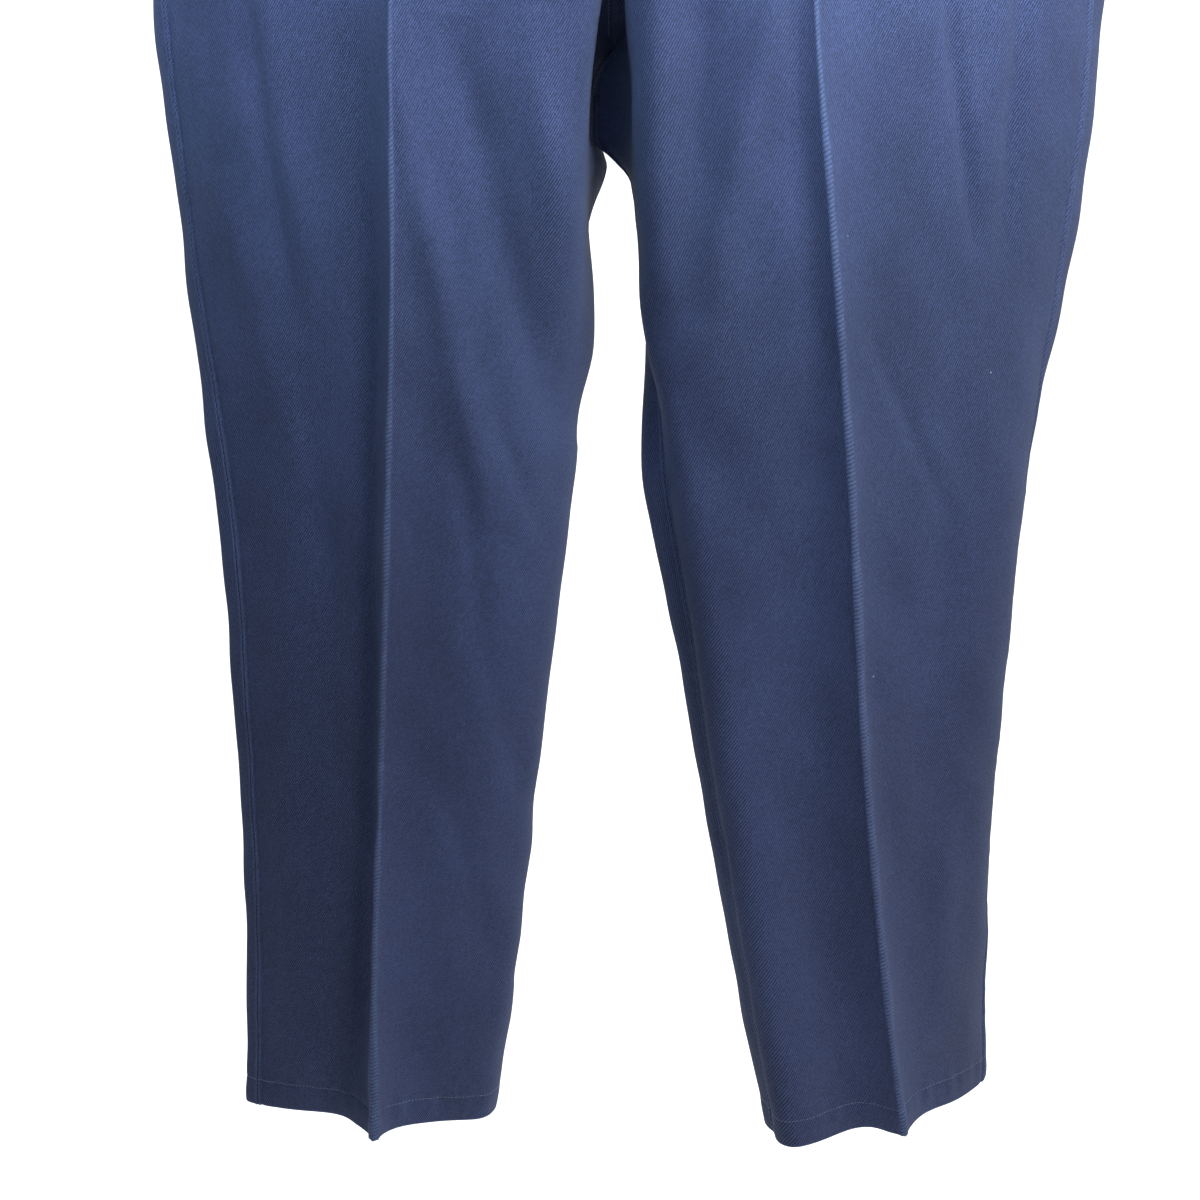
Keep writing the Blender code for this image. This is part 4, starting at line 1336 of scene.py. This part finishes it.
# Each light's name, power setting, share of that power, place, target, size and colour.
LIGHTS = (
    ("key_light", "key_power", 1.0, (0.75, -1.2, 0.30), (0.0, 0.0, -0.55), (0.35, 0.35), KEY_COLOUR),
    ("near_light", "near_power", 1.0, (0.50, -0.45, 0.15), (0.15, 0.0, -0.40), (0.35, 0.35), KEY_COLOUR),
    ("top_light_right", "accent_power", 1.0, (0.27, -0.28, 0.0), (0.16, 0.0, -0.25), SMALL, TOP_COLOUR),
    ("top_light_left", "accent_power", 1.2, (-0.44, -0.28, 0.04), (-0.26, 0.0, -0.22), SMALL, TOP_COLOUR),
    ("top_light_middle", "accent_power", 0.52, (-0.01, -0.26, 0.0), (0.04, 0.0, -0.24), SMALL, TOP_COLOUR),
    ("side_light", "side_power", 1.0, (1.2, -0.45, -0.55), (0.1, 0.0, -0.65), (0.6, 0.8), WHITE),
    ("fill_light", "fill_power", 1.0, (-0.25, -1.0, 0.15), (-0.1, 0.0, -0.5), (0.5, 0.5), TOP_COLOUR),
    ("backdrop_light", "rim_power", 1.0, (0.0, 0.6, 1.9), (0.0, 2.2, -1.0), (4.0, 1.0), WHITE),
)


def soft_light(name, power, place, target, size, colour):
    data = bpy.data.lights.new(name, "AREA")
    data.shape = "RECTANGLE"
    data.size, data.size_y = size
    data.energy = power
    data.color = colour
    light = placed_object(name, data)
    light.location = place
    light.rotation_euler = (Vector(target) - Vector(place)).to_track_quat("-Z", "Y").to_euler()


def backdrop_mesh(floor_z):
    """A floor that rounds up into a wall behind."""
    profile = [(FLOOR_FRONT, floor_z), (BACKDROP_Y - BACKDROP_ROUND, floor_z)]
    for step in range(1, BACKDROP_STEPS + 1):
        angle = math.pi / 2 * step / BACKDROP_STEPS
        y = BACKDROP_Y - BACKDROP_ROUND + BACKDROP_ROUND * math.sin(angle)
        profile.append((y, floor_z + BACKDROP_ROUND * (1 - math.cos(angle))))
    profile.append((BACKDROP_Y, floor_z + 5.0))
    vertices = [(x, y, z) for y, z in profile for x in (-BACKDROP_HALF, BACKDROP_HALF)]
    faces = [(2 * i, 2 * i + 1, 2 * i + 3, 2 * i + 2) for i in range(len(profile) - 1)]
    mesh = bpy.data.meshes.new("studio_backdrop")
    mesh.from_pydata(vertices, [], faces)
    mesh.shade_smooth()
    return mesh


def paper_material(colour):
    """Matt paper with a faint grain."""
    material, tree, shader = new_material("studio_paper")
    inputs = {"Vector": object_place(tree), "Scale": 60.0, "Detail": 3.0}
    grain = node(tree, "ShaderNodeTexNoise", inputs).outputs[0]
    shade = tuple(c * PAPER_SHADE for c in colour[:3]) + (1.0,)
    set_inputs(tree, shader, {
        "Base Color": mixed(tree, grain, shade, colour),
        "Roughness": 0.9,
        "Specular IOR Level": 0.1,
    })
    return material


class WORKPANTS_OT_stage(Operator):
    """Make the pale floor and backdrop, the soft lights and the camera"""

    bl_idname = "work_pants.stage"
    bl_label = "Stage"

    def execute(self, context):
        look = context.scene.work_pants_stage
        backdrop = backdrop_mesh(look.floor_z)
        make_object("studio_backdrop", backdrop, paper_material(tuple(look.floor_colour)))
        for name, power, share, *placing in LIGHTS:
            soft_light(name, getattr(look, power) * share, *placing)

        world = bpy.data.worlds.new("studio_air")
        world.use_nodes = True
        set_inputs(world.node_tree, world.node_tree.nodes["Background"], {0: (*WHITE, 1.0), 1: look.sky})
        context.scene.world = world
        context.scene.view_settings.view_transform = "Standard"

        lens = bpy.data.cameras.new("photo_camera")
        lens.lens = LENS
        lens.sensor_width = SENSOR
        camera = placed_object("photo_camera", lens)
        camera.location = CAMERA_PLACE
        camera.rotation_euler = (CAMERA_PITCH, 0.0, 0.0)
        context.scene.camera = camera
        return {"FINISHED"}


OPERATORS = (
    WORKPANTS_OT_leg_panels,
    WORKPANTS_OT_waistband,
    WORKPANTS_OT_fly_flap,
    WORKPANTS_OT_waist_button,
    WORKPANTS_OT_sewing,
    WORKPANTS_OT_stage,
)


class WORKPANTS_PT_panel(Panel):
    """Lists the work pants' pieces and their settings"""

    bl_idname = "WORKPANTS_PT_panel"
    bl_label = "Work Pants"
    bl_space_type = "VIEW_3D"
    bl_region_type = "UI"
    bl_category = "Work Pants"

    def draw(self, context):
        for operator in OPERATORS:
            self.layout.operator(operator.bl_idname)
        for settings in SETTINGS:
            box = self.layout.box()
            for name in SETTINGS[settings].__annotations__:
                box.prop(getattr(context.scene, settings), name)


SETTINGS = {
    "work_pants_cloth": WorkPantsCloth,
    "work_pants_finish": WorkPantsFinish,
    "work_pants_stage": WorkPantsStage,
}
CLASSES = (*SETTINGS.values(), *OPERATORS, WORKPANTS_PT_panel)


def register():
    for made in CLASSES:
        bpy.utils.register_class(made)
    for name, settings in SETTINGS.items():
        setattr(bpy.types.Scene, name, PointerProperty(type=settings))


def unregister():
    for name in SETTINGS:
        delattr(bpy.types.Scene, name)
    for made in reversed(CLASSES):
        bpy.utils.unregister_class(made)


def main():
    register()
    bpy.ops.work_pants.leg_panels()
    bpy.ops.work_pants.waistband()
    bpy.ops.work_pants.fly_flap()
    bpy.ops.work_pants.waist_button()
    bpy.ops.work_pants.sewing()
    bpy.ops.work_pants.stage()


if __name__ == "__main__":
    main()
